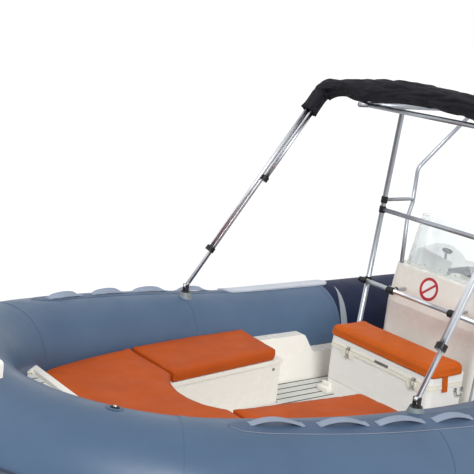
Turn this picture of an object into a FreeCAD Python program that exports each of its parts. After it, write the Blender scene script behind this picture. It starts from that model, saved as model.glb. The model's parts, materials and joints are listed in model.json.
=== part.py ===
"""Rigid inflatable boat with a centre console, a folded sun canopy and an outboard motor.

Millimetres.  +X is the bow, +Y is port, +Z is up.  The origin is on the centreline at the
waterline, abreast of the step between the bow benches and the console.
"""
import FreeCAD, Part
import math
import os

V = FreeCAD.Vector
os.makedirs("parts", exist_ok=True)

# Gaps
SEAT = 0.3            # gap between a curved face and what it is seated on
RUN = 6.0             # gap between a moving piece and its neighbours

# Inflatable collar
TUBE_R = 270.0        # radius of the air tube
TUBE_Y = 975.0        # tube centre off the centreline, along the cockpit
TUBE_Z = 355.0        # tube centre above the waterline, along the cockpit
STERN_X = -2620.0     # where the tube's parallel run ends aft
CONE_L = 235.0        # length of the stern cone
CONE_R = 95.0         # radius of the cone's small end
SEAM_X = -515.0       # seam between the stern panel and the side panel
SHEER_X = 0.0         # where the tube starts to rise towards the bow
SHEER_R = 6000.0      # radius of that bend, seen from the side
SHEER_A = 4.6         # angle of the rise, in degrees
FLARE_X = 600.0       # where the straight rise ends and the long curve begins
FLARE_R = 4000.0      # plan radius of the long curve to the bow
FLARE_A = 15.0        # angle of the long curve, in degrees

# Cockpit
FLOOR_Z = 152.0       # top of the floor planking
PLANK_T = 6.0         # planking thickness
PANEL_T = 14.0        # floor panel under the planking
WALL_Y = 573.0        # foot of the cockpit's side wall
WALL_LEAN = 40.0      # how far the wall leans out at the ledge
LEDGE_Z = 306.0       # low side ledge
COAMING_Z = 420.0     # high side coaming beside the bow benches
COAMING_X = -165.0    # where the high coaming starts to drop
LEDGE_X = -225.0      # where it has reached the ledge
DROP_R = 30.0         # rounding above and below that drop
TRANSOM_X = -2360.0   # aft face of the transom
TRANSOM_T = 60.0
TRANSOM_Z = 290.0     # top of the transom where the motor hangs
WELL_X = -2080.0      # front of the aft bench's back wall
WELL_Z = 470.0

# Bow benches and cushions
BENCH_AFT_X = 272.0   # aft face of the bow benches
BENCH_Z = 420.0       # top of the benches
BENCH_AFT_Y = 348.0   # inboard face at the aft end
BENCH_FWD_Y = 262.0   # inboard face at the bow pad
BENCH_LIP_H = 26.0    # moulded lip under the cushions
BENCH_LIP = 7.0       # how far it stands out
PAD_SEAM_X = 1095.0   # seam between the side cushions and the bow pad
PAD_HOLLOW = 95.0     # depth of the curve in the pad's aft edge
PAD_FWD_X = 1745.0    # front edge of the bow pad
PAD_FWD_Y = 455.0     # its half width
CUSHION_T = 62.0      # cushion thickness
CUSHION_LIP = 18.0    # how far a cushion stands over its bench
CUSHION_GAP = 3.0     # gap between neighbouring cushions
CUSHION_R = 52.0      # a cushion's rounded corner
FOREDECK_Z = 498.0    # foredeck
FOREDECK_RIM = 22.0   # raised rim round it
RIM_W = 38.0
WELL_L = (230.0, 330.0)      # from the bow pad's front edge: where the planked well narrows and ends
WELL_HW = (330.0, 150.0)     # its half width there
NOSE_BACK = 11.0      # step moulding on the collar's nose: its aft end, behind the tube's middle
NOSE_T = 76.0         # its height over the tube
NOSE_HW = (215.0, 140.0)     # half width aft and forward
NOSE_OVER = 8.0       # how far it stands forward of the tube
NOSE_R = 20.0         # rounding of its edges
FAIRLEAD_HW = 24.0    # channel for the anchor line

# Console
CONSOLE_X = -585.0    # front face at the windscreen's base
CONSOLE_KNEE = 40.0   # how far the lower front stands forward of it
CONSOLE_KNEE_Z = 705.0
CONSOLE_L = 500.0
CONSOLE_HW = 380.0    # half width
CONSOLE_Z = 929.0     # top of the front edge
DASH_Z = 850.0        # aft edge of the dash
DASH_X = -370.0       # that edge, from the front face
POD_L = 84.0          # instrument pod on the dash, fore and aft
POD_HW = 150.0
POD_H = 46.0
CONSOLE_R = 55.0      # corner radius
SCREEN_T = 5.0
SCREEN_H = 312.0      # height over the console's front edge
SCREEN_HW = 352.0     # half width
SCREEN_D = 210.0      # fore and aft, at its foot
SCREEN_R = 60.0       # corner radius
SCREEN_BACK = 42.0    # its foot behind the console's front edge
SCREEN_DIP = 70.0     # how far the wings reach below the front edge
SCREEN_RAKE = 14.0    # degrees from upright

# Ice chest before the console
CHEST_FWD_X = -150.0
CHEST_L = 292.0       # fore and aft
CHEST_HW = 400.0      # half width
CHEST_WALL = 32.0
CHEST_Z0 = 285.0      # underside, on its plinth
CHEST_SEAM_Z = 456.0  # joint between body and lid
CHEST_TOP_Z = 506.0
CHEST_FOOT = 2.0      # how far the plinth stands in from the chest
GROOVE_Z = 234.0      # groove round the plinth
GROOVE_W = 5.0
GROOVE_T = 4.0        # its depth
CHEST_CUSHION_T = 62.0
CHEST_LID_GAP = 0.6   # rest gap under the lid
HINGE_Y = 250.0       # chest hinges off the centreline
HINGE_R = 6.0         # knuckle
HINGE_PIN_R = 3.0
HINGE_L = 28.0        # fixed knuckle
HINGE_SIDE = 22.0     # turning knuckle, one each side of it
HINGE_PLAY = 0.5
LEAF_T = 3.0
LEAF_H = 30.0

# Frame round the console
FRAME_R = 16.0        # tube radius of the frame
POST_Y = 470.0
POST_FOOT_X = -420.0
POST_TOP_X = -560.0
FRAME_Z = 1876.0      # centre height of the frame's top rails
RAIL_FWD_X = -190.0   # forward end of the top rails, under the folded canopy
TOP_AFT_X = -1290.0   # aft end of the top rails
STAY_X = -772.0       # upright stretch of the inner stays
STAY_LOW_Z = 1245.0   # where that stretch starts, with its tie to the post
STAY_HIGH_Z = 1500.0  # where it ends
GRAB_R = 14.0         # grab rail before the console
GRAB_Z = 800.0
GRAB_ARM_Y = 240.0    # arms that carry it off the console
GRAB_ARM_R = 11.0
GRAB_PAST = 30.0      # rail's end outboard of the post
TEE_R = 22.0          # moulded tee round the rail at each arm
TEE_L = 46.0

# Sun canopy, folded
CANOPY_FOOT_X = 577.0
CANOPY_FOOT_Y = 924.0
CANOPY_TOP_Y = 815.0
CANOPY_TUBE_R = 12.5
CANOPY_PITCH = 25.0   # spacing of the folded tubes
BOOT_R = 55.0         # radius of the cover over the folded canopy
BOOT_BEND = 120.0
CANOPY_X = -235.0     # centre of the folded canopy at rest
EYE_W = 20.0          # width of a leg's eye
PIN_R = 5.0
PIN_FIT = 0.06        # radial play at a pin

# Outboard motor
TILT_BACK = 48.0      # tilt tube aft of the transom
TILT_X = TRANSOM_X - TILT_BACK
TILT_Z = 372.0
TILT_R = 15.0         # tilt tube
STEER_BACK = 97.0     # steering axis aft of the tilt tube
STEER_X = TILT_X - STEER_BACK
STEER_LOW_Z = 60.0    # lower end of the swivel
STEER_PIN_R = 16.0
STEER_TUBE_R = 32.0   # outside of the swivel's upright tube
SWIVEL_HW = 80.0      # half width at the tilt tube
CLAMP_Y = 88.0        # inner face of the clamp plates
CLAMP_T = 20.0
CAV_Z = -262.0        # plate over the propeller
PROP_Z = -440.0       # propeller shaft
HUB_BACK = 212.0      # front of the propeller's hub aft of the steering axis
HUB_X = STEER_X - HUB_BACK
HUB_L = 104.0
HUB_R = (44.0, 30.0)  # its radius in front and behind
BLADE_BACK = 48.0     # middle of the blades aft of the hub's front
PROP_X = HUB_X - BLADE_BACK
PROP_R = 160.0
BLADE_T = 7.0
BLADE_PITCH = 32.0    # degrees
SHAFT_R = 12.0        # propeller shaft
TORPEDO_R = 47.0      # gear case round the shaft
COWL_Z = 500.0        # underside of the cowl
COWL_TOP = 905.0
COWL_HW = 158.0

# Helm
HELM_X = -1850.0      # aft face of the helm bench
HELM_L = 400.0
HELM_HW = 330.0
HELM_Z = 600.0        # top of the bench
HELM_CUSHION_T = 80.0
HELM_LIP = 8.0        # how far cushion and backrest stand over the bench's sides
REST_POST_Y = 250.0   # backrest posts
REST_POST_R = 14.0
REST_POST_H = 300.0
REST_RAKE = 28.0      # how far their heads stand aft of their feet
REST_LOW = 210.0      # backrest's lower edge above the bench
REST_H = 190.0
REST_T = 60.0
WHEEL_R = 168.0       # steering wheel
WHEEL_RIM_R = 13.0
WHEEL_OUT = 92.0      # rim's middle from the dash
WHEEL_RISE = 0.4375   # rise of its axis for each length aft
HELM_BOSS_R = 30.0
HELM_BOSS_L = 62.0
HELM_HUB = (95.0, 775.0)     # foot of the wheel's axis: forward of the console's back, and height

# Grab loops and tread pads on the tubes
LOOP_COUNT = 4
LOOP_X = 462.0        # middle of the aftmost loop
LOOP_PITCH = 317.0
LOOP_L = 242.0
LOOP_RISE = 40.0
LOOP_T = 7.0
LOOP_W = 36.0
LOOP_LEAN = (12.5, 1.5)   # degrees outboard, at the aft and the forward loop
TREAD_FWD_X = 270.0
TREAD_AFT_X = -606.0
TREAD_HW = 84.0
PAD_OUT = 44.0        # pad's middle outboard of the tube's top
PAD_T = 5.0

# Towing eyes
EYE_R = 12.0
EYE_PLATE = 14.0
BOW_EYE_X = 2085.0
BOW_EYE_Z = 40.0
EYE_Y = 430.0
EYE_Z = 60.0


def save(name, shape):
    shape.exportStep("parts/" + name + ".step")


def box(x0, x1, y0, y1, z0, z1):
    lo = V(min(x0, x1), min(y0, y1), min(z0, z1))
    return Part.makeBox(abs(x1 - x0), abs(y1 - y0), abs(z1 - z0), lo)


def rod(start, end, radius):
    return Part.makeCylinder(radius, (end - start).Length, start, end - start)


def plan(points, z0, z1):
    """Prism with a plan outline of (x, y) points."""
    loop = [V(x, y, z0) for x, y in points]
    return Part.Face(Part.makePolygon(loop + loop[:1])).extrude(V(0, 0, z1 - z0))


def side_profile(points, y0, y1):
    """Prism with a side outline of (x, z) points."""
    loop = [V(x, y0, z) for x, z in points]
    return Part.Face(Part.makePolygon(loop + loop[:1])).extrude(V(0, y1 - y0, 0))


def end_profile(points, x0, x1):
    """Prism with an end outline of (y, z) points."""
    loop = [V(x0, y, z) for y, z in points]
    return Part.Face(Part.makePolygon(loop + loop[:1])).extrude(V(x1 - x0, 0, 0))


def both_sides(points):
    """Closed outline from the points of its port half."""
    return points + [(x, -y) for x, y in reversed(points)]


def fuse(shapes):
    shape = shapes[0]
    for other in shapes[1:]:
        shape = shape.fuse(other)
    return shape.removeSplitter()


def upright_edges(shape):
    return [e for e in shape.Edges
            if len(e.Vertexes) == 2
            and (e.Vertexes[0].Point - e.Vertexes[1].Point).cross(V(0, 0, 1)).Length < 0.01]


def round_corners(shape, corners, radius):
    """Rounds the upright edges that stand at the given (x, y) corners."""
    chosen = [e for e in upright_edges(shape)
              if any(math.dist((e.Vertexes[0].X, e.Vertexes[0].Y), corner) < 0.1 for corner in corners)]
    return shape.makeFillet(radius, chosen)


def edges_at(shape, z):
    return [e for e in shape.Edges if all(abs(v.Z - z) < 0.01 for v in e.Vertexes)]


def mirror(shape):
    return shape.mirror(V(0, 0, 0), V(0, 1, 0))


def bent_tube(points, radius, bend):
    """Round tube along straight runs joined by tangent arcs of one bend radius."""
    edges = []
    start = points[0]
    for before, corner, after in zip(points, points[1:], points[2:]):
        a = (before - corner).normalize()
        b = (after - corner).normalize()
        half = a.getAngle(b) / 2
        back = bend / math.tan(half)
        p, q = corner + a * back, corner + b * back
        middle = (a + b).normalize()
        arc_mid = corner + middle * (bend / math.sin(half) - bend)
        edges += [Part.LineSegment(start, p).toShape(), Part.Arc(p, arc_mid, q).toShape()]
        start = q
    edges.append(Part.LineSegment(start, points[-1]).toShape())
    first = points[1] - points[0]
    ring = Part.Wire(Part.makeCircle(radius, points[0], first))
    return Part.Wire(edges).makePipeShell([ring], True, True)


# Collar path: a straight run, the sheer bend, a rise, the long curve and the bow arc
SHEER_T = math.radians(SHEER_A)
FLARE_T = math.radians(FLARE_A)
RISE_L = (FLARE_X - SHEER_X - SHEER_R * math.sin(SHEER_T)) / math.cos(SHEER_T)
BOW_R = (TUBE_Y - FLARE_R * (1 - math.cos(FLARE_T))) / math.cos(FLARE_T)
DECK_UP = V(-math.sin(SHEER_T), 0, math.cos(SHEER_T))
RISE_DIR = V(math.cos(SHEER_T), 0, math.sin(SHEER_T))


def collar_runs():
    """Port half of the collar as (name, start point, heading, length or angle, centre, axis)."""
    runs = []
    at = V(STERN_X, TUBE_Y, TUBE_Z)
    seam = V(SEAM_X, TUBE_Y, TUBE_Z)
    runs.append(("stern", at, V(1, 0, 0), (seam - at).Length, None, None))
    bend = V(SHEER_X, TUBE_Y, TUBE_Z)
    runs.append(("side", seam, V(1, 0, 0), (bend - seam).Length, None, None))
    centre = bend + V(0, 0, SHEER_R)
    runs.append(("side", bend, V(1, 0, 0), SHEER_A, centre, V(0, -1, 0)))
    at = centre - DECK_UP * SHEER_R
    runs.append(("side", at, RISE_DIR, RISE_L, None, None))
    at = at + RISE_DIR * RISE_L
    centre = at - V(0, FLARE_R, 0)
    runs.append(("bow", at, RISE_DIR, FLARE_A, centre, DECK_UP * -1))
    out = RISE_DIR * math.sin(FLARE_T) + V(0, math.cos(FLARE_T), 0)
    heading = RISE_DIR * math.cos(FLARE_T) - V(0, math.sin(FLARE_T), 0)
    at = centre + out * FLARE_R
    runs.append(("bow", at, heading, 90 - FLARE_A, at - out * BOW_R, DECK_UP * -1))
    return runs


RUNS = collar_runs()
BOW_CENTRE = RUNS[-1][4]
BOW_TIP = BOW_CENTRE + RISE_DIR * BOW_R


def follow(face_at, names):
    """Solid that a face makes along the collar's runs; face_at gives it at a start and heading."""
    solids = []
    for name, at, heading, amount, centre, axis in RUNS:
        if name not in names:
            continue
        face = face_at(at, heading)
        if centre is None:
            solids.append(face.extrude(heading * amount))
        else:
            solids.append(face.revolve(centre, axis, amount))
    return fuse(solids)


def ring_face(radius):
    def face_at(at, heading):
        return Part.Face(Part.Wire(Part.makeCircle(radius, at, heading)))
    return face_at


def section_face(points):
    """Face from (out, up) points about the tube's centre, out being away from the cockpit."""
    def face_at(at, heading):
        out = V(-heading.y, heading.x, 0)
        out.normalize()
        up = heading.cross(out)
        loop = [at + out * u + up * w for u, w in points]
        return Part.Face(Part.makePolygon(loop + loop[:1]))
    return face_at


ALL_RUNS = ("stern", "side", "bow")
COLLAR_CUT = follow(ring_face(TUBE_R + SEAT), ALL_RUNS)
COLLAR_CUT = COLLAR_CUT.fuse(mirror(COLLAR_CUT))


def collar():
    cone = Part.makeCone(CONE_R, TUBE_R, CONE_L, V(STERN_X - CONE_L, TUBE_Y, TUBE_Z), V(1, 0, 0))
    cap = Part.makeSphere(CONE_R, V(STERN_X - CONE_L, TUBE_Y, TUBE_Z))
    for name in ALL_RUNS:
        tube = follow(ring_face(TUBE_R), (name,))
        if name == "stern":
            tube = fuse([tube, cone, cap])
        save("tube_" + name + "_port", tube)
        save("tube_" + name + "_starboard", mirror(tube))


# Rubbing strake: a moulded rubber band outside the tube
STRAKE_H = 44.0
STRAKE_D = 26.0


def strakes():
    inner = math.sqrt(TUBE_R ** 2 - STRAKE_H ** 2) - 4.0
    outer = TUBE_R + STRAKE_D
    bevel = STRAKE_H * 0.45
    band = follow(section_face([(inner, -STRAKE_H), (outer - 8, -STRAKE_H), (outer, -bevel), (outer, bevel),
                                (outer - 8, STRAKE_H), (inner, STRAKE_H)]), ALL_RUNS)
    band = band.cut(follow(ring_face(TUBE_R + SEAT), ALL_RUNS))
    save("rub_strake_port", band)
    save("rub_strake_starboard", mirror(band))


# Hull, one row for each section: x, keel z, chine y, chine z, gunwale y, gunwale z (inside the tube)
HULL_TOP = FLOOR_Z - PLANK_T - PANEL_T
HULL_ROWS = [
    (TRANSOM_X, -255.0, 790.0, -35.0, 895.0, 235.0),
    (0.0, -265.0, 790.0, -20.0, 895.0, 245.0),
    (900.0, -235.0, 735.0, 45.0, 845.0, 300.0),
    (1500.0, -150.0, 560.0, 130.0, 730.0, 380.0),
    (1900.0, -20.0, 330.0, 210.0, 660.0, 430.0),
    (2120.0, 130.0, 130.0, 280.0, 530.0, 460.0),
    (2230.0, 300.0, 30.0, 360.0, 420.0, 480.0),
    (2330.0, 420.0, 8.0, 440.0, 380.0, 500.0),
]
DECK_TOP = 620.0      # above every fixed moulding forward
CHINE_W = 12.0        # flat of the chine
LIFT_SHARES = (0.36, 0.68)   # spray rails under the hull: shares of the way from keel to chine
LIFT_W = 0.036        # their width, as a share of the chine's


def hull_form():
    """The whole hull's outside, with straight topsides above the gunwale, cut back to the tubes."""
    loops = []
    for x, keel_z, chine_y, chine_z, side_y, side_z in HULL_ROWS:
        half = [(0, keel_z)]
        for share in LIFT_SHARES:
            y, z = chine_y * share, keel_z + (chine_z - keel_z) * share
            half += [(y, z), (y + chine_y * LIFT_W, z)]
        half += [(chine_y, chine_z), (chine_y + CHINE_W, chine_z + CHINE_W / 3)]
        half += [(side_y, side_z), (side_y, DECK_TOP)]
        outline = half + [(-y, z) for y, z in reversed(half[1:])]
        points = [V(x, y, z) for y, z in outline]
        loops.append(Part.makePolygon(points + points[:1]))
    return Part.makeLoft(loops, True, True).cut(COLLAR_CUT)


HULL = hull_form()


def hull():
    low = box(TRANSOM_X - 1, BOW_TIP.x, -TUBE_Y, TUBE_Y, -400, HULL_TOP)
    solid = HULL.common(low)
    save("hull_bottom", solid)
    return solid


def inside_collar(x0, x1, half_width, z0, z1):
    """Block across the boat, cut back to the hull and the tubes."""
    return box(x0, x1, -half_width, half_width, z0, z1).common(HULL)


def hollow_edge(x, half, depth, z):
    """Edges of the curved aft end of the bow pad, from starboard to port."""
    return Part.Arc(V(x, -half, z), V(x + depth, 0, z), V(x, half, z)).toShape()


def bow_plan(front_x, front_y, aft_x, aft_y, depth, outer_y, z0, z1):
    """Bow block: straight front, slanted sides, hollow aft edge."""
    arc = hollow_edge(aft_x, aft_y, depth, z0)
    points = [V(aft_x, aft_y, z0), V(aft_x, outer_y, z0), V(front_x, front_y, z0), V(front_x, -front_y, z0),
              V(aft_x, -outer_y, z0), V(aft_x, -aft_y, z0)]
    lines = [Part.LineSegment(a, b).toShape() for a, b in zip(points, points[1:])]
    return Part.Face(Part.Wire([arc] + lines)).extrude(V(0, 0, z1 - z0))


def cockpit():
    base = HULL_TOP
    floor = inside_collar(TRANSOM_X, BOW_TIP.x, TUBE_Y, base, base + PANEL_T)
    save("floor_panel", floor)
    edge = 8.0
    planks = plan(both_sides([(WELL_X + edge, WALL_Y - edge), (BENCH_AFT_X - edge, WALL_Y - edge),
                              (BENCH_AFT_X - edge, BENCH_AFT_Y - edge), (PAD_SEAM_X, BENCH_FWD_Y - edge),
                              (PAD_SEAM_X + PAD_HOLLOW, BENCH_FWD_Y - edge)]),
                  FLOOR_Z - PLANK_T, FLOOR_Z)
    locker = bow_plan(PAD_FWD_X, TUBE_Y, PAD_SEAM_X - edge, BENCH_FWD_Y, PAD_HOLLOW, TUBE_Y,
                      FLOOR_Z - PLANK_T, FLOOR_Z)
    save("floor_planking", planks.cut(locker))
    low = FLOOR_Z - PLANK_T
    lean = WALL_LEAN / (LEDGE_Z - low)
    top_y = WALL_Y + lean * (COAMING_Z - low)
    outer = TUBE_Y - TUBE_R * 0.5
    section = [(WALL_Y, low), (top_y, COAMING_Z), (outer, COAMING_Z), (outer, low)]
    raw = end_profile(section, WELL_X, BENCH_AFT_X)
    slope = (COAMING_X - LEDGE_X) / (COAMING_Z - LEDGE_Z)
    over = 60.0
    drop = side_profile([(WELL_X - 1, COAMING_Z + over), (COAMING_X + slope * over, COAMING_Z + over),
                         (LEDGE_X, LEDGE_Z), (WELL_X - 1, LEDGE_Z)], 0, TUBE_Y)
    foot = [e for e in drop.Edges if all(abs(v.X - LEDGE_X) < 0.1 for v in e.Vertexes)]
    coaming = raw.cut(drop.makeFillet(DROP_R, foot))
    head = [e for e in coaming.Edges if all(abs(v.X - COAMING_X) < 0.1 for v in e.Vertexes)]
    coaming = coaming.makeFillet(DROP_R, head).common(HULL)
    save("side_coaming_port", coaming)
    save("side_coaming_starboard", mirror(coaming))


def bow_furniture():
    low = FLOOR_Z - PLANK_T
    aft = BENCH_AFT_X
    fwd = PAD_SEAM_X
    lip = BENCH_LIP
    box_plan = [(aft, BENCH_AFT_Y), (fwd, BENCH_FWD_Y), (fwd, TUBE_Y), (aft, TUBE_Y)]
    lip_plan = [(aft - lip, BENCH_AFT_Y - lip), (fwd, BENCH_FWD_Y - lip), (fwd, WALL_Y), (aft - lip, WALL_Y)]
    bench = fuse([plan(box_plan, low, BENCH_Z), plan(lip_plan, BENCH_Z - BENCH_LIP_H, BENCH_Z)])
    bench = bench.common(HULL)
    save("bow_bench_port", bench)
    save("bow_bench_starboard", mirror(bench))
    locker = fuse([bow_plan(PAD_FWD_X, TUBE_Y, fwd, BENCH_FWD_Y, PAD_HOLLOW, TUBE_Y, low, BENCH_Z),
                   bow_plan(PAD_FWD_X, TUBE_Y, fwd, BENCH_FWD_Y - lip, PAD_HOLLOW - lip, TUBE_Y,
                            BENCH_Z - BENCH_LIP_H, BENCH_Z)])
    locker = locker.common(HULL)
    save("bow_locker", locker)
    deck = plan(both_sides([(PAD_FWD_X, TUBE_Y), (BOW_TIP.x, TUBE_Y)]), low, FOREDECK_Z + FOREDECK_RIM)
    deck = deck.common(HULL)

    def well(edge, z0, z1):
        rows = [(RIM_W + edge, PAD_FWD_Y - edge)] + [(x - edge, y - edge) for x, y in zip(WELL_L, WELL_HW)]
        return plan(both_sides([(PAD_FWD_X + x, y) for x, y in rows]), z0, z1)

    save("foredeck", deck.cut(well(0.0, FOREDECK_Z, FOREDECK_Z + 2 * FOREDECK_RIM)))
    edge = 10.0
    cut = follow(ring_face(TUBE_R + edge), ("bow",))
    save("foredeck_planking", well(edge, FOREDECK_Z, FOREDECK_Z + PLANK_T).cut(cut.fuse(mirror(cut))))


def bow_nose():
    """Step moulding seated on the collar's nose, with a channel for the anchor line."""
    top = BOW_TIP.z + TUBE_R + NOSE_T
    middle, back = BOW_TIP.x, BOW_TIP.x - NOSE_BACK
    front = middle + TUBE_R + NOSE_OVER
    slope = (front - middle) * 0.42
    body = side_profile([(back, BOW_TIP.z), (back, top), (front - slope, top), (front, top - slope * 0.75),
                         (front, top - slope * 1.2)], -NOSE_HW[0], NOSE_HW[0])
    outline = both_sides([(back, NOSE_HW[0]), (front - slope, NOSE_HW[0] - 20), (front, NOSE_HW[1])])
    body = body.common(plan(outline, BOW_TIP.z - 1, top + 1))
    upper = [e for e in body.Edges if all(v.Z > top - slope for v in e.Vertexes)
             and any(v.Z > top - 1 for v in e.Vertexes)]
    body = body.makeFillet(NOSE_R, upper)
    depth = NOSE_T * 0.35
    bottom = [(middle + 90, top - depth), (front - slope + 10, top - depth), (front + 1, top - depth - slope * 0.75)]
    channel = side_profile([(middle + 70, top + 1)] + bottom + [(front + 1, top + 1)], -FAIRLEAD_HW, FAIRLEAD_HW)
    save("bow_nose", body.cut(channel).cut(COLLAR_CUT))


def bow_cushions():
    z0 = BENCH_Z + SEAT
    z1 = BENCH_Z + CUSHION_T
    gap = CUSHION_GAP / 2
    pad = bow_plan(PAD_FWD_X - 8, PAD_FWD_Y + 60, PAD_SEAM_X + gap, BENCH_FWD_Y - CUSHION_LIP,
                   PAD_HOLLOW, 760, z0, z1)
    cut = follow(ring_face(TUBE_R + CUSHION_GAP), ALL_RUNS)
    cut = cut.fuse(mirror(cut))
    save("bow_pad", pad.cut(cut))
    aft = BENCH_AFT_X - CUSHION_LIP
    corner = (aft + CUSHION_R, BENCH_AFT_Y - CUSHION_LIP)
    side = plan([corner, (PAD_SEAM_X - gap, BENCH_FWD_Y - CUSHION_LIP),
                 (PAD_SEAM_X - gap, TUBE_Y), (aft, TUBE_Y)], z0, z1)
    save("side_cushion_port", round_corners(side, [corner], CUSHION_R).cut(cut))
    save("side_cushion_starboard", mirror(round_corners(side, [corner], CUSHION_R).cut(cut)))


def transom():
    base = HULL_TOP + PANEL_T
    half = TUBE_Y - TUBE_R * 0.6
    wall = plan(both_sides([(TRANSOM_X, half), (TRANSOM_X + TRANSOM_T, half)]), HULL_TOP + PANEL_T, WELL_Z)
    notch = box(TRANSOM_X - 1, TRANSOM_X + TRANSOM_T + 1, -190, 190, TRANSOM_Z, WELL_Z + 1)
    save("transom", wall.cut(notch).cut(COLLAR_CUT))
    front = plan(both_sides([(WELL_X - 40, half), (WELL_X, half)]), base, WELL_Z).cut(COLLAR_CUT)
    save("well_wall", front)


def console_form():
    base = FLOOR_Z
    aft = CONSOLE_X - CONSOLE_L
    knee = CONSOLE_X + CONSOLE_KNEE
    body = side_profile([(knee, base), (knee, CONSOLE_KNEE_Z), (CONSOLE_X, CONSOLE_Z),
                         (CONSOLE_X - 90, CONSOLE_Z + 10), (CONSOLE_X + DASH_X, DASH_Z), (aft + 60, 700), (aft, base)],
                        -CONSOLE_HW, CONSOLE_HW)
    front = [e for e in body.Edges if all(v.X > CONSOLE_X - 1 for v in e.Vertexes)
             and abs(e.Vertexes[0].Y - e.Vertexes[1].Y) < 1]
    return body.makeFillet(CONSOLE_R, front)


def console():
    """Console with the instrument pod moulded on its dash."""
    back = CONSOLE_X + DASH_X
    pod = side_profile([(back + 8, DASH_Z - 12), (back + 16, DASH_Z + POD_H), (back + POD_L, DASH_Z + POD_H + 12),
                        (back + 2 * POD_L, DASH_Z + 12)], -POD_HW, POD_HW)
    pod = pod.makeFillet(16.0, [e for e in pod.Edges if all(v.Z > DASH_Z + POD_H - 1 for v in e.Vertexes)])
    save("console", fuse([console_form(), pod]))


def windscreen():
    """Clear wrap-round screen: a raked U in plan, its lower edge cut to the console's top."""
    front_x = CONSOLE_X - SCREEN_BACK
    lean = math.tan(math.radians(SCREEN_RAKE))

    def loop(z, inset):
        x = front_x - (z - CONSOLE_Z) * lean
        r = SCREEN_R - inset
        half = SCREEN_HW - inset
        aft = x - SCREEN_D
        nose = x - inset
        mid = r * math.sqrt(0.5)
        corner = (nose - r + mid, half - r + mid)
        edges = [Part.LineSegment(V(aft, half, z), V(nose - r, half, z)),
                 Part.Arc(V(nose - r, half, z), V(corner[0], corner[1], z), V(nose, half - r, z)),
                 Part.LineSegment(V(nose, half - r, z), V(nose, r - half, z)),
                 Part.Arc(V(nose, r - half, z), V(corner[0], -corner[1], z), V(nose - r, -half, z)),
                 Part.LineSegment(V(nose - r, -half, z), V(aft, -half, z)),
                 Part.LineSegment(V(aft, -half, z), V(aft, half, z))]
        return Part.Wire([e.toShape() for e in edges])

    low, high = CONSOLE_Z - SCREEN_DIP, CONSOLE_Z + SCREEN_H
    outer = Part.makeLoft([loop(low, 0.0), loop(high, 0.0)], True, True)
    inner = Part.makeLoft([loop(low - 1, SCREEN_T), loop(high + 1, SCREEN_T)], True, True)
    open_x = front_x - SCREEN_D + SCREEN_DIP * lean
    back = box(open_x - 2 * SCREEN_D, open_x, -SCREEN_HW - 1, SCREEN_HW + 1, low - 1, high + 1)
    seat = console_form()
    seat.translate(V(0, 0, SEAT))
    save("windscreen", outer.cut(inner).cut(back).cut(seat))


def soft_box(x0, x1, y0, y1, z0, z1, upright_r, top_r=0.0):
    """Box with rounded upright corners and a rounded top edge."""
    body = box(x0, x1, y0, y1, z0, z1)
    body = body.makeFillet(upright_r, upright_edges(body))
    if top_r:
        body = body.makeFillet(top_r, edges_at(body, z1))
    return body


def chest():
    aft = CHEST_FWD_X - CHEST_L

    def inset(step, z0, z1):
        return soft_box(aft + step, CHEST_FWD_X - step, -CHEST_HW + step, CHEST_HW - step, z0, z1, 34.0 - step)

    groove = inset(0.0, GROOVE_Z, GROOVE_Z + GROOVE_W).cut(
        inset(CHEST_FOOT + GROOVE_T, GROOVE_Z - 1, GROOVE_Z + GROOVE_W + 1))
    save("chest_plinth", inset(CHEST_FOOT, FLOOR_Z, CHEST_Z0).cut(groove))
    body = soft_box(aft, CHEST_FWD_X, -CHEST_HW, CHEST_HW, CHEST_Z0, CHEST_SEAM_Z, 34.0)
    w = CHEST_WALL
    inside = soft_box(aft + w, CHEST_FWD_X - w, -CHEST_HW + w, CHEST_HW - w, CHEST_Z0 + w, CHEST_SEAM_Z + 1, 16.0)
    save("chest_body", body.cut(inside))
    lid = soft_box(aft, CHEST_FWD_X, -CHEST_HW, CHEST_HW, CHEST_SEAM_Z + CHEST_LID_GAP, CHEST_TOP_Z, 34.0)
    fixed, turning = chest_hinges(aft)
    save("chest_hinges", Part.makeCompound(fixed))
    save("chest_lid", fuse([lid] + turning))
    over = 12.0
    save("chest_cushion", soft_box(aft + 22, CHEST_FWD_X + over, -CHEST_HW - over, CHEST_HW + over,
                                   CHEST_TOP_Z, CHEST_TOP_Z + CHEST_CUSHION_T, 40.0, 18.0))


def chest_hinges(back):
    """Leaves with their pins on the chest's back, and the lid's own knuckles each side of them."""
    x = back - HINGE_R - SEAT
    half = HINGE_L / 2
    reach = half + HINGE_PLAY + HINGE_SIDE

    def across(y0, y1, radius):
        return rod(V(x, min(y0, y1), CHEST_SEAM_Z), V(x, max(y0, y1), CHEST_SEAM_Z), radius)

    fixed, turning = [], []
    for y in (-HINGE_Y, HINGE_Y):
        leaf = box(back - LEAF_T, back, y - half, y + half, CHEST_SEAM_Z - LEAF_H, CHEST_SEAM_Z - HINGE_PLAY)
        fixed.append(fuse([leaf, across(y - half, y + half, HINGE_R), across(y - reach, y + reach, HINGE_PIN_R)]))
        for way in (-1, 1):
            y0, y1 = y + way * (half + HINGE_PLAY), y + way * reach
            leaf = box(back - LEAF_T, back, y0, y1, CHEST_SEAM_Z + CHEST_LID_GAP, CHEST_SEAM_Z + LEAF_H)
            turning.append(fuse([leaf, across(y0, y1, HINGE_R)]).cut(across(y0, y1, HINGE_PIN_R + PIN_FIT)))
    return fixed, turning


def post_x(z):
    """Centre of the outer posts at height z."""
    return POST_FOOT_X + (POST_TOP_X - POST_FOOT_X) * (z - FLOOR_Z) / (FRAME_Z - FLOOR_Z)


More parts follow.
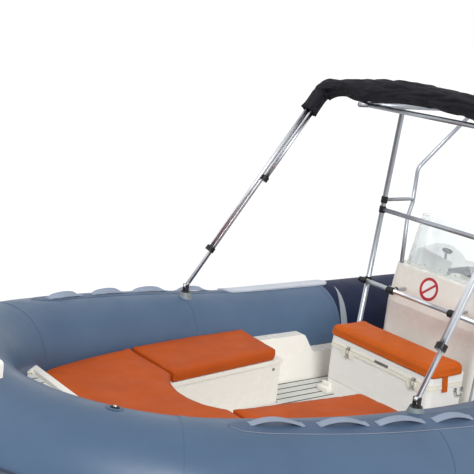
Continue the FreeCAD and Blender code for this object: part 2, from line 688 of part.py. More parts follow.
def console_frame():
    flange = Part.makeCylinder(36.0, 8.0, V(POST_FOOT_X, POST_Y, FLOOR_Z))
    post = rod(V(POST_FOOT_X, POST_Y, FLOOR_Z + 4), V(POST_TOP_X, POST_Y, FRAME_Z), FRAME_R)
    top = rod(V(RAIL_FWD_X, POST_Y, FRAME_Z), V(TOP_AFT_X, POST_Y, FRAME_Z), FRAME_R)
    foot = V(CONSOLE_X - 30, CONSOLE_HW - 34, CONSOLE_Z + 8)
    stay = bent_tube([foot, V(STAY_X + 40, POST_Y - 10, STAY_LOW_Z - 60), V(STAY_X, POST_Y, STAY_LOW_Z + 40),
                      V(STAY_X, POST_Y, STAY_HIGH_Z),
                      V(TOP_AFT_X + 60, POST_Y, FRAME_Z)], FRAME_R * 0.8, 60.0)
    tie = rod(V(post_x(STAY_LOW_Z), POST_Y, STAY_LOW_Z + 60), V(STAY_X, POST_Y, STAY_LOW_Z + 60), FRAME_R * 0.7)
    side = fuse([flange, post, top, stay, tie]).cut(console_form())
    save("frame_port", side)
    save("frame_starboard", mirror(side))
    reach = POST_Y - FRAME_R - SEAT
    bars = [(post_x(STAY_LOW_Z), STAY_LOW_Z), (RAIL_FWD_X - 60, FRAME_Z), (TOP_AFT_X + 40, FRAME_Z)]
    save("frame_crossbars", Part.makeCompound([rod(V(x, -reach, z), V(x, reach, z), GRAB_R) for x, z in bars]))
    x = post_x(GRAB_Z) + FRAME_R + GRAB_R + SEAT
    reach = POST_Y + GRAB_PAST
    bars = [rod(V(x, -reach, GRAB_Z), V(x, reach, GRAB_Z), GRAB_R)]
    for y in (-GRAB_ARM_Y, GRAB_ARM_Y):
        bars += [rod(V(x, y, GRAB_Z), V(CONSOLE_X, y, GRAB_Z), GRAB_ARM_R),
                 rod(V(x, y - TEE_L / 2, GRAB_Z), V(x, y + TEE_L / 2, GRAB_Z), TEE_R)]
    save("grab_rail", fuse(bars).cut(console_form()))


def tube_height(x):
    """Height of the collar's centreline at x, aft of the long curve's end."""
    rise = max(0.0, x - SHEER_X - SHEER_R * math.sin(SHEER_T))
    bend = min(max(0.0, x - SHEER_X), SHEER_R * math.sin(SHEER_T))
    return TUBE_Z + SHEER_R - math.sqrt(SHEER_R ** 2 - bend ** 2) + rise * math.tan(SHEER_T)


def tube_top(x, y):
    """Height of the collar's upper surface at (x, y), along the cockpit."""
    return tube_height(x) + math.sqrt(TUBE_R ** 2 - (y - TUBE_Y) ** 2)


def canopy():
    foot = V(CANOPY_FOOT_X, CANOPY_FOOT_Y, tube_top(CANOPY_FOOT_X, CANOPY_FOOT_Y))
    pivot = foot + V(0, 0, 62)
    pad = Part.makeCone(64.0, 30.0, 90.0, foot - V(0, 0, 60), V(0, 0, 1)).cut(COLLAR_CUT)
    ear_in = EYE_W / 2 + 0.5
    ears = [box(pivot.x - 11, pivot.x + 11, pivot.y + a, pivot.y + b, foot.z + 26, pivot.z + 12)
            for a, b in ((ear_in, ear_in + 6), (-ear_in - 6, -ear_in))]
    pin = rod(pivot - V(0, ear_in + 9, 0), pivot + V(0, ear_in + 9, 0), PIN_R)
    fitting = fuse([pad] + ears + [pin])
    save("canopy_foot_port", fitting)
    save("canopy_foot_starboard", mirror(fitting))

    boot_z = FRAME_Z + FRAME_R + RUN + BOOT_R
    corner = V(CANOPY_X, CANOPY_TOP_Y - 12, boot_z)
    along = (corner - pivot).normalize()
    mouth = corner - along * (BOOT_BEND + 70)
    eye = Part.makeCylinder(13.0, EYE_W, pivot - V(0, EYE_W / 2, 0), V(0, 1, 0))
    bore = Part.makeCylinder(PIN_R + PIN_FIT, EYE_W + 2, pivot - V(0, EYE_W / 2 + 1, 0), V(0, 1, 0))
    leg = fuse([rod(pivot + along * 9, mouth, CANOPY_TUBE_R), eye])
    slab = box(pivot.x - 40, pivot.x + 40, pivot.y - EYE_W / 2, pivot.y + EYE_W / 2, pivot.z - 40, pivot.z + 24)
    keep = box(pivot.x - 60, pivot.x + 60, pivot.y - 60, pivot.y + 60, pivot.z - 60, pivot.z + 24)
    leg = fuse([leg.common(slab), leg.cut(keep)]).cut(bore)
    save("canopy_leg_port", leg)
    save("canopy_leg_starboard", mirror(leg))
    across = V(0, 1, 0).cross(along).normalize() * CANOPY_PITCH
    length = (mouth - pivot).Length
    clamps = [(0.19, 1), (0.60, -1)]     # share of the leg's length, side of the tube that starts there
    inner = []
    blocks = []
    for share, way in clamps:
        start = pivot + along * (length * share) + across * way
        inner.append(rod(start, mouth + across * way, CANOPY_TUBE_R * 0.88))
        middle = start - across * way * 0.5 + along * 16
        block = Part.makeCylinder(CANOPY_PITCH * 1.12, 30.0, middle - along * 15, along)
        blocks.append(block)
    cutter = fuse([rod(pivot, mouth, CANOPY_TUBE_R + SEAT)])
    for tube, (share, way) in zip(list(inner), clamps):
        start = pivot + along * (length * share - 5) + across * way
        cutter = cutter.fuse(rod(start, mouth + across * way, CANOPY_TUBE_R * 0.88 + SEAT))
    blocks = [b.cut(cutter) for b in blocks]
    save("canopy_tubes_port", Part.makeCompound(inner))
    save("canopy_tubes_starboard", mirror(Part.makeCompound(inner)))
    save("canopy_clamps", Part.makeCompound(blocks + [mirror(b) for b in blocks]))
    far = V(mouth.x, -mouth.y, mouth.z)
    save("canopy_boot", bent_tube([mouth, corner, V(corner.x, -corner.y, corner.z), far], BOOT_R, BOOT_BEND))


def collar_frame(x, lean):
    """Placement on the tube's centreline at x: local X ahead, local Z out of the tube, leant outboard."""
    along = (x - RUNS[4][1].x) / math.cos(SHEER_T)
    turn = math.asin(max(0.0, along) / FLARE_R)
    y = TUBE_Y - FLARE_R * (1 - math.cos(turn))
    pitch = SHEER_A if x > SHEER_X else 0.0
    spin = FreeCAD.Rotation(V(0, 0, 1), -math.degrees(turn))
    spin = spin.multiply(FreeCAD.Rotation(V(0, 1, 0), -pitch))
    spin = spin.multiply(FreeCAD.Rotation(V(1, 0, 0), -lean))
    return FreeCAD.Placement(V(x, y, tube_height(x)), spin)


def arch(length, rise, z):
    """Three-point arc over a loop, in the local XZ plane."""
    return Part.Arc(V(-length / 2, 0, z), V(0, 0, z + rise), V(length / 2, 0, z))


def lifelines():
    """Glued rubber strips with four raised grab loops on each tube."""
    loops = []
    base = TUBE_R - 4.0
    for k in range(LOOP_COUNT):
        outer = arch(LOOP_L, LOOP_RISE, base)
        inner = arch(LOOP_L - 46, LOOP_RISE - LOOP_T, base)
        feet = [Part.LineSegment(outer.EndPoint, inner.EndPoint), Part.LineSegment(inner.StartPoint, outer.StartPoint)]
        edges = [outer.toShape(), feet[0].toShape(), inner.toShape(), feet[1].toShape()]
        solid = Part.Face(Part.Wire(Part.__sortEdges__(edges))).extrude(V(0, LOOP_W, 0))
        solid.translate(V(0, -LOOP_W / 2, 0))
        lean = LOOP_LEAN[0] + (LOOP_LEAN[1] - LOOP_LEAN[0]) * k / (LOOP_COUNT - 1)
        solid.Placement = collar_frame(LOOP_X + k * LOOP_PITCH, lean).multiply(solid.Placement)
        loops.append(solid.cut(COLLAR_CUT))
    save("lifeline_port", Part.makeCompound(loops))
    save("lifeline_starboard", mirror(Part.makeCompound(loops)))


def tread_pads():
    middle = TUBE_Y + PAD_OUT
    shell = follow(ring_face(TUBE_R + SEAT + PAD_T), ("stern", "side")).cut(COLLAR_CUT)
    outline = plan([(TREAD_FWD_X, middle), (TREAD_FWD_X - 200, middle + TREAD_HW), (TREAD_AFT_X + 60, middle + TREAD_HW),
                    (TREAD_AFT_X, middle + TREAD_HW - 50), (TREAD_AFT_X, middle - TREAD_HW + 50),
                    (TREAD_AFT_X + 60, middle - TREAD_HW), (TREAD_FWD_X - 200, middle - TREAD_HW)],
                   TUBE_Z, TUBE_Z + 500)
    pad = shell.common(outline)
    save("tread_pad_port", pad)
    save("tread_pad_starboard", mirror(pad))


def helm():
    fwd, top = HELM_X + HELM_L, HELM_Z + HELM_CUSHION_T
    save("helm_bench", soft_box(HELM_X, fwd, -HELM_HW, HELM_HW, FLOOR_Z, HELM_Z, 40.0))
    wide = HELM_HW + HELM_LIP
    save("helm_cushion", soft_box(HELM_X + REST_T + 10, fwd + 12, -wide, wide, HELM_Z, top, 45.0, 25.0))

    def post(y, radius):
        foot = V(HELM_X + REST_RAKE + 6, y, HELM_Z)
        return rod(foot, foot + V(-REST_RAKE, 0, REST_POST_H), radius)

    spots = (-REST_POST_Y, REST_POST_Y)
    seat = box(HELM_X, fwd, -HELM_HW, HELM_HW, FLOOR_Z, HELM_Z)
    save("backrest_posts", Part.makeCompound([post(y, REST_POST_R).cut(seat) for y in spots]))
    rest = soft_box(HELM_X - REST_T * 0.4, HELM_X + REST_T * 0.6, -wide, wide, HELM_Z + REST_LOW,
                    HELM_Z + REST_LOW + REST_H, 24.0, 20.0)
    for y in spots:
        rest = rest.cut(post(y, REST_POST_R + SEAT))
    save("backrest", rest)
    hub = V(CONSOLE_X - CONSOLE_L + HELM_HUB[0], 0, HELM_HUB[1])
    lean = V(-1, 0, WHEEL_RISE).normalize()
    ring = Part.makeTorus(WHEEL_R, WHEEL_RIM_R, hub + lean * WHEEL_OUT, lean)
    boss = Part.makeCylinder(HELM_BOSS_R + 6, 40.0, hub + lean * HELM_BOSS_L, lean)
    spokes = []
    side = V(0, 1, 0)
    for k in range(3):
        a = math.radians(90 + 120 * k)
        out = (lean.cross(side) * math.sin(a) + side * math.cos(a)).normalize()
        spokes.append(rod(hub + lean * (WHEEL_OUT - 8) + out * 20, hub + lean * WHEEL_OUT + out * WHEEL_R, 8.0))
    save("steering_wheel", fuse([ring, boss] + spokes))
    save("helm_boss", Part.makeCylinder(HELM_BOSS_R, HELM_BOSS_L - SEAT, hub, lean).cut(console_form()))


def motor():
    """Clamp plates hooked over the transom, and the swivel that turns on their tilt tube."""
    face = TRANSOM_X
    inner = face + TRANSOM_T
    thick = 22.0
    low = TRANSOM_Z - 210
    # clamp plates: (x, z) outline that hooks over the transom
    hook = [(face - SEAT, low), (face - SEAT, TRANSOM_Z + SEAT), (inner + SEAT, TRANSOM_Z + SEAT),
            (inner + SEAT, TRANSOM_Z - 120), (inner + thick, TRANSOM_Z - 120), (inner + thick, TRANSOM_Z + 50),
            (TILT_X + 20, TILT_Z + 42), (TILT_X - 26, TILT_Z + 26), (TILT_X - 26, TILT_Z - 30), (TILT_X - 14, low)]
    outer = CLAMP_Y + CLAMP_T
    plates = [side_profile(hook, y0, y1) for y0, y1 in ((CLAMP_Y, outer), (-outer, -CLAMP_Y))]
    tube = rod(V(TILT_X, -outer - 8, TILT_Z), V(TILT_X, outer + 8, TILT_Z), TILT_R)
    bridge = box(inner + SEAT, inner + thick, -outer, outer, TRANSOM_Z - 40, TRANSOM_Z + 30)
    save("motor_clamp", fuse(plates + [tube, bridge]))
    shoulder = TILT_Z + 26
    swivel = side_profile([(TILT_X + 24, shoulder), (TILT_X + 24, TILT_Z - 26), (STEER_X + 44, STEER_LOW_Z),
                           (STEER_X, STEER_LOW_Z), (STEER_X, shoulder)], -SWIVEL_HW, SWIVEL_HW)
    swivel = swivel.common(plan(both_sides([(TILT_X + 30, SWIVEL_HW), (TILT_X - 30, SWIVEL_HW),
                                            (STEER_X, STEER_TUBE_R)]), 0, TILT_Z + 80))
    swivel = fuse([swivel, rod(V(STEER_X, 0, STEER_LOW_Z), V(STEER_X, 0, shoulder), STEER_TUBE_R)])
    swivel = swivel.cut(rod(V(TILT_X, -CLAMP_Y, TILT_Z), V(TILT_X, CLAMP_Y, TILT_Z), TILT_R + PIN_FIT))
    swivel = swivel.cut(rod(V(STEER_X, 0, 0), V(STEER_X, 0, TILT_Z + 80), STEER_PIN_R + PIN_FIT))
    save("motor_swivel", swivel)


def lens(x_front, x_back, half, z):
    """Streamlined plan section: two arcs from a sharp nose to a sharp tail."""
    nose, tail = V(x_front, 0, z), V(x_back, 0, z)
    middle = x_front + (x_back - x_front) * 0.42
    return Part.Wire([Part.Arc(nose, V(middle, half, z), tail).toShape(),
                      Part.Arc(tail, V(middle, -half, z), nose).toShape()])


def rounded_loop(x0, x1, half, radius, z):
    """Rounded rectangle about the centreline at height z."""
    face = box(x0, x1, -half, half, z, z + 1)
    face = face.makeFillet(radius, upright_edges(face))
    flat = [f for f in face.Faces if all(abs(v.Z - z) < 0.01 for v in f.Vertexes)][0]
    return flat.OuterWire


def motor_leg():
    """Leg from the cowl to the gear case, with its yokes, plate, fin and the propeller's shaft, in one casting."""
    front = STEER_X - STEER_TUBE_R - RUN
    # height, nose x, tail x, half width
    strut = [(PROP_Z, STEER_X - 70, HUB_X + 12, 26.0), (CAV_Z, STEER_X - 52, HUB_X - 10, 30.0),
             (30.0, front, HUB_X + 7, 46.0), (TILT_Z + 40, front, HUB_X - 3, 66.0),
             (COWL_Z - SEAT, front, HUB_X - 18, 88.0)]
    body = Part.makeLoft([lens(x0, x1, half, z) for z, x0, x1, half in strut], True, True)
    nose_x, tail_x, r = STEER_X - 24, HUB_X + RUN, TORPEDO_R
    shoulder = nose_x - 60 - STEER_PIN_R - 8
    torpedo = Part.Wire([Part.Arc(V(nose_x, 0, PROP_Z), V(nose_x - 26, 0, PROP_Z + 0.74 * r),
                                  V(shoulder, 0, PROP_Z + r)).toShape(),
                         Part.LineSegment(V(shoulder, 0, PROP_Z + r), V(tail_x, 0, PROP_Z + r * 0.86)).toShape(),
                         Part.LineSegment(V(tail_x, 0, PROP_Z + r * 0.86), V(tail_x, 0, PROP_Z)).toShape(),
                         Part.LineSegment(V(tail_x, 0, PROP_Z), V(nose_x, 0, PROP_Z)).toShape()])
    torpedo = Part.Face(torpedo).revolve(V(0, 0, PROP_Z), V(1, 0, 0), 360)
    fin = side_profile([(STEER_X - 84, PROP_Z - 30), (STEER_X - 150, PROP_Z - 158), (HUB_X + 30, PROP_Z - 158),
                        (HUB_X + 12, PROP_Z - 30)], -5, 5)
    plate = plan(both_sides([(STEER_X - 40, 34), (STEER_X - 110, 92), (PROP_X - 40, 100), (PROP_X - 80, 70)]),
                 CAV_Z - 4, CAV_Z + 4)
    splash = plan(both_sides([(STEER_X - 42, 40), (STEER_X - 100, 70), (HUB_X - 20, 62)]), CAV_Z + 96, CAV_Z + 102)
    high, low = TILT_Z + 26 + RUN, STEER_LOW_Z - RUN
    top_yoke = plan(both_sides([(STEER_X + 42, 40), (STEER_X - 60, 62)]), high, high + 40)
    low_yoke = plan(both_sides([(STEER_X + 36, 34), (STEER_X - 60, 40)]), low - 38, low)
    pin = rod(V(STEER_X, 0, low - 20), V(STEER_X, 0, high + 28), STEER_PIN_R)
    nut_x = HUB_X - HUB_L - RUN / 2
    shaft = rod(V(tail_x + 20, 0, PROP_Z), V(nut_x - 14, 0, PROP_Z), SHAFT_R)
    nut = rod(V(nut_x, 0, PROP_Z), V(nut_x - 14, 0, PROP_Z), SHAFT_R + 7)
    save("motor_leg", fuse([body, torpedo, fin, plate, splash, top_yoke, low_yoke, pin, shaft, nut]))


def motor_cowl():
    """Cowl: a pan, a shadow groove over it and a crowned hood that leans aft."""
    hood = COWL_TOP - COWL_Z
    # share of the cowl's height, forward of the steering axis, aft of it, half width, corner radius
    rows = [(0.00, 92, 300, COWL_HW - 40, 56.0), (0.07, 106, 326, COWL_HW - 16, 70.0),
            (0.17, 112, 340, COWL_HW - 6, 78.0), (0.19, 108, 336, COWL_HW - 10, 76.0),
            (0.21, 112, 342, COWL_HW - 4, 80.0), (0.45, 112, 352, COWL_HW, 90.0),
            (0.70, 106, 346, COWL_HW - 3, 92.0), (0.86, 92, 326, COWL_HW - 16, 90.0),
            (0.95, 74, 298, COWL_HW - 34, 80.0), (1.00, 44, 256, COWL_HW - 62, 62.0)]
    loops = [rounded_loop(STEER_X - aft, STEER_X + fwd, half, r, COWL_Z + hood * share)
             for share, fwd, aft, half, r in rows]
    save("motor_cowl", Part.makeLoft(loops, True, True))


def propeller():
    front = V(HUB_X, 0, PROP_Z)
    hub = Part.makeCone(HUB_R[0], HUB_R[1], HUB_L, front, V(-1, 0, 0))
    blades = []
    for k in range(3):
        root, wide, tip = 30.0, 110.0, PROP_R
        outline = Part.Wire([Part.Arc(V(0, -30, root), V(0, -66, wide), V(0, -8, tip)).toShape(),
                             Part.Arc(V(0, -8, tip), V(0, 62, wide), V(0, 30, root)).toShape(),
                             Part.LineSegment(V(0, 30, root), V(0, -30, root)).toShape()])
        blade = Part.Face(outline).extrude(V(BLADE_T, 0, 0))
        blade.translate(V(-BLADE_T / 2, 0, 0))
        blade.rotate(V(0, 0, 0), V(0, 0, 1), BLADE_PITCH)
        blade.rotate(V(0, 0, 0), V(1, 0, 0), 120.0 * k)
        blade.translate(V(PROP_X, 0, PROP_Z))
        blades.append(blade)
    bore = Part.makeCylinder(SHAFT_R + PIN_FIT, HUB_L, front, V(-1, 0, 0))
    save("propeller", fuse([hub] + blades).cut(bore))


def eyes(hull_solid):
    """Plates with a round hole: one under the bow, two on the transom."""
    stem = V(BOW_EYE_X, 0.0, BOW_EYE_Z)
    plate = side_profile([(stem.x - 120, stem.z - 10), (stem.x - 20, stem.z - 34), (stem.x + 24, stem.z - 24),
                          (stem.x + 34, stem.z + 14), (stem.x + 20, stem.z + 70), (stem.x - 110, stem.z + 30)],
                         -EYE_PLATE / 2, EYE_PLATE / 2)
    hole = rod(stem - V(0, EYE_PLATE, 0), stem + V(0, EYE_PLATE, 0), EYE_R)
    save("bow_eye", plate.cut(hull_solid).cut(hole).cut(COLLAR_CUT))
    at = V(TRANSOM_X - 34, EYE_Y, EYE_Z)
    ear = box(at.x - 26, TRANSOM_X, at.y - EYE_PLATE / 2, at.y + EYE_PLATE / 2, at.z - 26, at.z + 26)
    base = box(TRANSOM_X - 6, TRANSOM_X, at.y - 30, at.y + 30, at.z - 34, at.z + 34)
    ear = fuse([ear, base]).cut(rod(at - V(0, EYE_PLATE, 0), at + V(0, EYE_PLATE, 0), EYE_R))
    save("stern_eyes", Part.makeCompound([ear, mirror(ear)]))


def main():
    collar()
    strakes()
    eyes(hull())
    cockpit()
    bow_furniture()
    bow_nose()
    bow_cushions()
    transom()
    console()
    windscreen()
    chest()
    console_frame()
    canopy()
    lifelines()
    tread_pads()
    helm()
    motor()
    motor_leg()
    motor_cowl()
    propeller()


main()
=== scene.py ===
"""Looks of a rigid inflatable boat afloat: coated fabric collar, orange vinyl cushions, white gelcoat."""
import bpy
import bmesh
import json
import math
from mathutils import Matrix, Vector, noise
from mathutils.bvhtree import BVHTree


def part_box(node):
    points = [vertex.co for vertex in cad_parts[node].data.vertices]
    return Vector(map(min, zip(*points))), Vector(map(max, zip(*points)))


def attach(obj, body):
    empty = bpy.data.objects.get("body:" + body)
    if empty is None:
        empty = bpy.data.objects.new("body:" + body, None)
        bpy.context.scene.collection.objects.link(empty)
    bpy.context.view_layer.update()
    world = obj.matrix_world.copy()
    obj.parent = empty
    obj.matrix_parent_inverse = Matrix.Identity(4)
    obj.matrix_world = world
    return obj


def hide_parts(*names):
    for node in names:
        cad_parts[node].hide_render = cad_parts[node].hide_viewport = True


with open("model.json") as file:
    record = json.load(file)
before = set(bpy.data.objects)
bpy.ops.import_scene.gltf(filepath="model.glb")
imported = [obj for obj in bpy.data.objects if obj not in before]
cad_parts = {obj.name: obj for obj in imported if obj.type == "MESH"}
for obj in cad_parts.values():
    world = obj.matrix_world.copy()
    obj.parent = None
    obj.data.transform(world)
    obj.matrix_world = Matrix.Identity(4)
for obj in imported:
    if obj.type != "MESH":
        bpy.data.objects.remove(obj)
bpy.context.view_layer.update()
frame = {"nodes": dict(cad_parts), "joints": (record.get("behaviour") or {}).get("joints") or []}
nodes = frame["nodes"]
SIDES = (("port", 1), ("starboard", -1))

# Collar path, in metres and radians
TUBE_R = 0.270
TUBE_Y = 0.975
TUBE_Z = 0.355
RISE_R = 6.0
RISE_A = math.radians(4.6)
FLARE_X = 0.600
FLARE_R = 4.0
FLARE_A = math.radians(15.0)
SEAM_S = -0.515
STERN_S = -2.620
RISE_DIR = Vector((math.cos(RISE_A), 0, math.sin(RISE_A)))
RISE_END = Vector((RISE_R * math.sin(RISE_A), TUBE_Y, TUBE_Z + RISE_R * (1 - math.cos(RISE_A))))
RISE_S = RISE_R * RISE_A
RISE_L = (FLARE_X - RISE_END.x) / math.cos(RISE_A)
FLARE_S = RISE_S + RISE_L
FLARE_L = FLARE_R * FLARE_A
BOW_R = (TUBE_Y - FLARE_R * (1 - math.cos(FLARE_A))) / math.cos(FLARE_A)
BOW_S = FLARE_S + FLARE_L


def collar_line(s):
    """Point and heading of the port collar's centreline at s metres forward of the step."""
    side = Vector((0, 1, 0))
    if s <= 0:
        return Vector((s, TUBE_Y, TUBE_Z)), Vector((1, 0, 0))
    if s < RISE_S:
        a = s / RISE_R
        at = Vector((RISE_R * math.sin(a), TUBE_Y, TUBE_Z + RISE_R * (1 - math.cos(a))))
        return at, Vector((math.cos(a), 0, math.sin(a)))
    if s < FLARE_S:
        return RISE_END + RISE_DIR * (s - RISE_S), RISE_DIR.copy()
    at = RISE_END + RISE_DIR * RISE_L
    turn = min(s - FLARE_S, FLARE_L) / FLARE_R
    at += RISE_DIR * (FLARE_R * math.sin(turn)) - side * (FLARE_R * (1 - math.cos(turn)))
    if s > BOW_S:
        more = turn + (s - BOW_S) / BOW_R
        at += RISE_DIR * (BOW_R * (math.sin(more) - math.sin(turn)))
        at += side * (BOW_R * (math.cos(more) - math.cos(turn)))
        turn = more
    return at, RISE_DIR * math.cos(turn) - side * math.sin(turn)


def on_collar(s, lean, out=0.0, way=1):
    """Point on the collar: lean is the angle outboard of its top, in degrees, and out the height over it."""
    at, heading = collar_line(s)
    outboard = Vector((-heading.y, heading.x, 0)).normalized()
    up = heading.cross(outboard)
    a = math.radians(lean)
    point = at + (up * math.cos(a) + outboard * math.sin(a)) * (TUBE_R + out)
    return Vector((point.x, point.y * way, point.z))


# Materials

def material(name, colour, rough, metal=0.0, **sockets):
    """New material with its principled shader's own numbers; returns it and its shader."""
    m = bpy.data.materials.new(name)
    m.use_nodes = True
    shader = m.node_tree.nodes["Principled BSDF"]
    values = {"Base Color": (*colour, 1.0), "Roughness": rough, "Metallic": metal}
    for key, value in {**values, **{k.replace("_", " "): v for k, v in sockets.items()}}.items():
        shader.inputs[key].default_value = value
    return m, shader


def add(m, kind, links=(), **values):
    """Node of a kind in a material, with named inputs and (input, socket) links."""
    node = m.node_tree.nodes.new("ShaderNode" + kind)
    for key, value in values.items():
        if hasattr(node, key):
            setattr(node, key, value)
        else:
            node.inputs[key.replace("_", " ")].default_value = value
    for key, socket in links:
        m.node_tree.links.new(socket, node.inputs[key])
    return node


def place(m, scale=(1, 1, 1)):
    """Object coordinates of a material, scaled for a grain that runs one way."""
    coords = add(m, "TexCoord").outputs["Object"]
    return add(m, "Mapping", [("Vector", coords)], Scale=scale).outputs["Vector"]


def grain(m, vector, scale, detail=3.0, rough=0.55):
    """Noise over coordinates."""
    cloud = add(m, "TexNoise", [("Vector", vector)], Scale=scale, Detail=detail, Roughness=rough)
    return cloud.outputs["Fac"]


def between(m, factor, low=0.0, high=1.0, from_low=0.3, from_high=0.7):
    """Number that runs from low to high with a factor."""
    node = add(m, "MapRange", [("Value", factor)], From_Min=from_low, From_Max=from_high,
               To_Min=low, To_Max=high)
    return node.outputs["Result"]


def mixed(m, factor, a, b):
    """Colour between a and b, each a colour or a socket."""
    node = m.node_tree.nodes.new("ShaderNodeMix")
    node.data_type = "RGBA"
    m.node_tree.links.new(factor, node.inputs[0])
    for end, value in ((node.inputs[6], a), (node.inputs[7], b)):
        if isinstance(value, tuple):
            end.default_value = (*value, 1.0)
        else:
            m.node_tree.links.new(value, end)
    return node.outputs[2]


def relief(m, shader, height, depth, strength=1.0):
    """Bump of a height in metres on the shader's normal, after any that it has."""
    bump = add(m, "Bump", [("Height", height)], Strength=strength, Distance=depth)
    old = shader.inputs["Normal"]
    if old.links:
        m.node_tree.links.new(old.links[0].from_socket, bump.inputs["Normal"])
    m.node_tree.links.new(bump.outputs["Normal"], old)


def coloured(m, shader, factor, a, b):
    """Gives the shader a colour that runs from a to b with a factor."""
    m.node_tree.links.new(mixed(m, factor, a, b), shader.inputs["Base Color"])


def roughened(m, shader, factor, low, high, *ends):
    """Gives the shader a roughness that runs from low to high with a factor."""
    m.node_tree.links.new(between(m, factor, low, high, *ends), shader.inputs["Roughness"])


def coated_fabric(name, colour, dark, rough=0.42, shine=0.4):
    """Calendered tube fabric: a fine cloth grain under a satin skin, slightly weathered."""
    m, shader = material(name, colour, rough, Specular_IOR_Level=shine)
    here = place(m)
    coloured(m, shader, between(m, grain(m, here, 2.4, 6.0, 0.62)), colour, dark)
    roughened(m, shader, grain(m, here, 7.0, 7.0), rough - 0.07, rough + 0.09)
    relief(m, shader, grain(m, here, 1400.0, 2.0), 0.0002, 0.35)
    relief(m, shader, grain(m, here, 9.0, 2.0), 0.004, 0.10)
    return m


def gelcoat(name, colour, dark, rough=0.24):
    """Glossy moulding: a hard coat over a faint waviness, with the patches of use."""
    m, shader = material(name, colour, rough, Coat_Weight=0.2, Coat_Roughness=0.12, Specular_IOR_Level=0.4)
    here = place(m)
    coloured(m, shader, between(m, grain(m, here, 1.3, 3.0), 0.0, 1.0, 0.40, 0.75), colour, dark)
    roughened(m, shader, grain(m, here, 16.0, 5.0), rough - 0.04, rough + 0.08)
    relief(m, shader, grain(m, here, 6.0, 1.0), 0.002, 0.10)
    return m


def vinyl(name, colour, dark):
    """Upholstery vinyl: pebbled leather grain, satin, a little darker where it has been sat on."""
    m, shader = material(name, colour, 0.55, Specular_IOR_Level=0.16)
    here = place(m)
    coloured(m, shader, between(m, grain(m, here, 4.3, 6.0), 0.0, 1.0, 0.35, 0.72), colour, dark)
    roughened(m, shader, grain(m, here, 12.0, 5.0), 0.48, 0.64)
    pebble = add(m, "TexVoronoi", [("Vector", here)], Scale=520.0, feature="SMOOTH_F1")
    relief(m, shader, pebble.outputs["Distance"], 0.0004, 0.4)
    relief(m, shader, grain(m, here, 11.0, 4.0), 0.005, 0.16)
    return m


def planking(name, colour, dark):
    """Synthetic deck planks, brushed fore and aft."""
    m, shader = material(name, colour, 0.78)
    fibres = grain(m, place(m, (9, 420, 9)), 1.0, 4.0)
    tone = mixed(m, between(m, grain(m, place(m), 5.0, 5.0), 0.0, 0.6), colour, dark)
    coloured(m, shader, between(m, fibres, 0.0, 0.5, 0.45, 0.8), tone, dark)
    relief(m, shader, fibres, 0.0008, 0.5)
    return m


def metal_tube(name, colour, rough):
    """Drawn tube, anodised: a fine grain with scuffs."""
    m, shader = material(name, colour, rough, metal=1.0)
    here = place(m)
    roughened(m, shader, grain(m, here, 14.0, 2.0), rough - 0.05, rough + 0.10)
    coloured(m, shader, between(m, grain(m, here, 5.0), 0.0, 0.6), colour, tuple(0.80 * c for c in colour))
    return m


def moulded(name, colour, dark, rough, pebble=260.0, depth=0.0005, shine=0.5):
    """Moulded plastic or rubber with a fine texture."""
    m, shader = material(name, colour, rough, Specular_IOR_Level=shine)
    here = place(m)
    coloured(m, shader, between(m, grain(m, here, 6.0, 5.0)), colour, dark)
    roughened(m, shader, grain(m, here, 30.0, 5.0), rough - 0.07, rough + 0.09)
    relief(m, shader, grain(m, here, pebble, 2.0), depth, 0.4)
    return m


def foot_finish(name, split_z, below, above):
    """Rubber cone under a nylon fitting, parted at a height."""
    m, shader = material(name, below, 0.5)
    here = place(m)
    height = add(m, "SeparateXYZ", [("Vector", here)]).outputs["Z"]
    over = add(m, "Math", [(0, height)], operation="GREATER_THAN")
    over.inputs[1].default_value = split_z
    worn = grain(m, here, 60.0, 5.0)
    rubber = mixed(m, between(m, worn), below, tuple(0.8 * c for c in below))
    coloured(m, shader, over.outputs["Value"], rubber, above)
    roughened(m, shader, worn, 0.42, 0.62)
    relief(m, shader, grain(m, here, 260.0, 2.0), 0.0004, 0.4)
    return m


def woven_cover(name, colour, dark):
    """Woven acrylic cloth of the canopy's cover, on the piece's own map: u along it, v round it."""
    m, shader = material(name, colour, 0.66, Sheen_Weight=0.01, Sheen_Roughness=0.5, Specular_IOR_Level=0.20)
    uv = add(m, "UVMap", uv_map="cover").outputs["UV"]
    weave = add(m, "Math", operation="MULTIPLY")
    for k, turn in enumerate((0.0, math.pi / 2)):
        across = add(m, "Mapping", [("Vector", uv)], Rotation=(0, 0, turn)).outputs["Vector"]
        thread = add(m, "TexWave", [("Vector", across)], Scale=260.0, Distortion=0.4)
        m.node_tree.links.new(thread.outputs["Fac"], weave.inputs[k])
    coloured(m, shader, between(m, grain(m, place(m), 6.0, 6.0)), colour, dark)
    relief(m, shader, weave.outputs["Value"], 0.0007, 0.7)
    return m


def clear_sheet(name):
    """Clear acrylic with a faint haze."""
    m, shader = material(name, (0.78, 0.86, 0.86), 0.03, Transmission_Weight=1.0, IOR=1.49, Alpha=0.5)
    roughened(m, shader, grain(m, place(m), 18.0, 8.0), 0.02, 0.10, 0.45, 0.8)
    return m


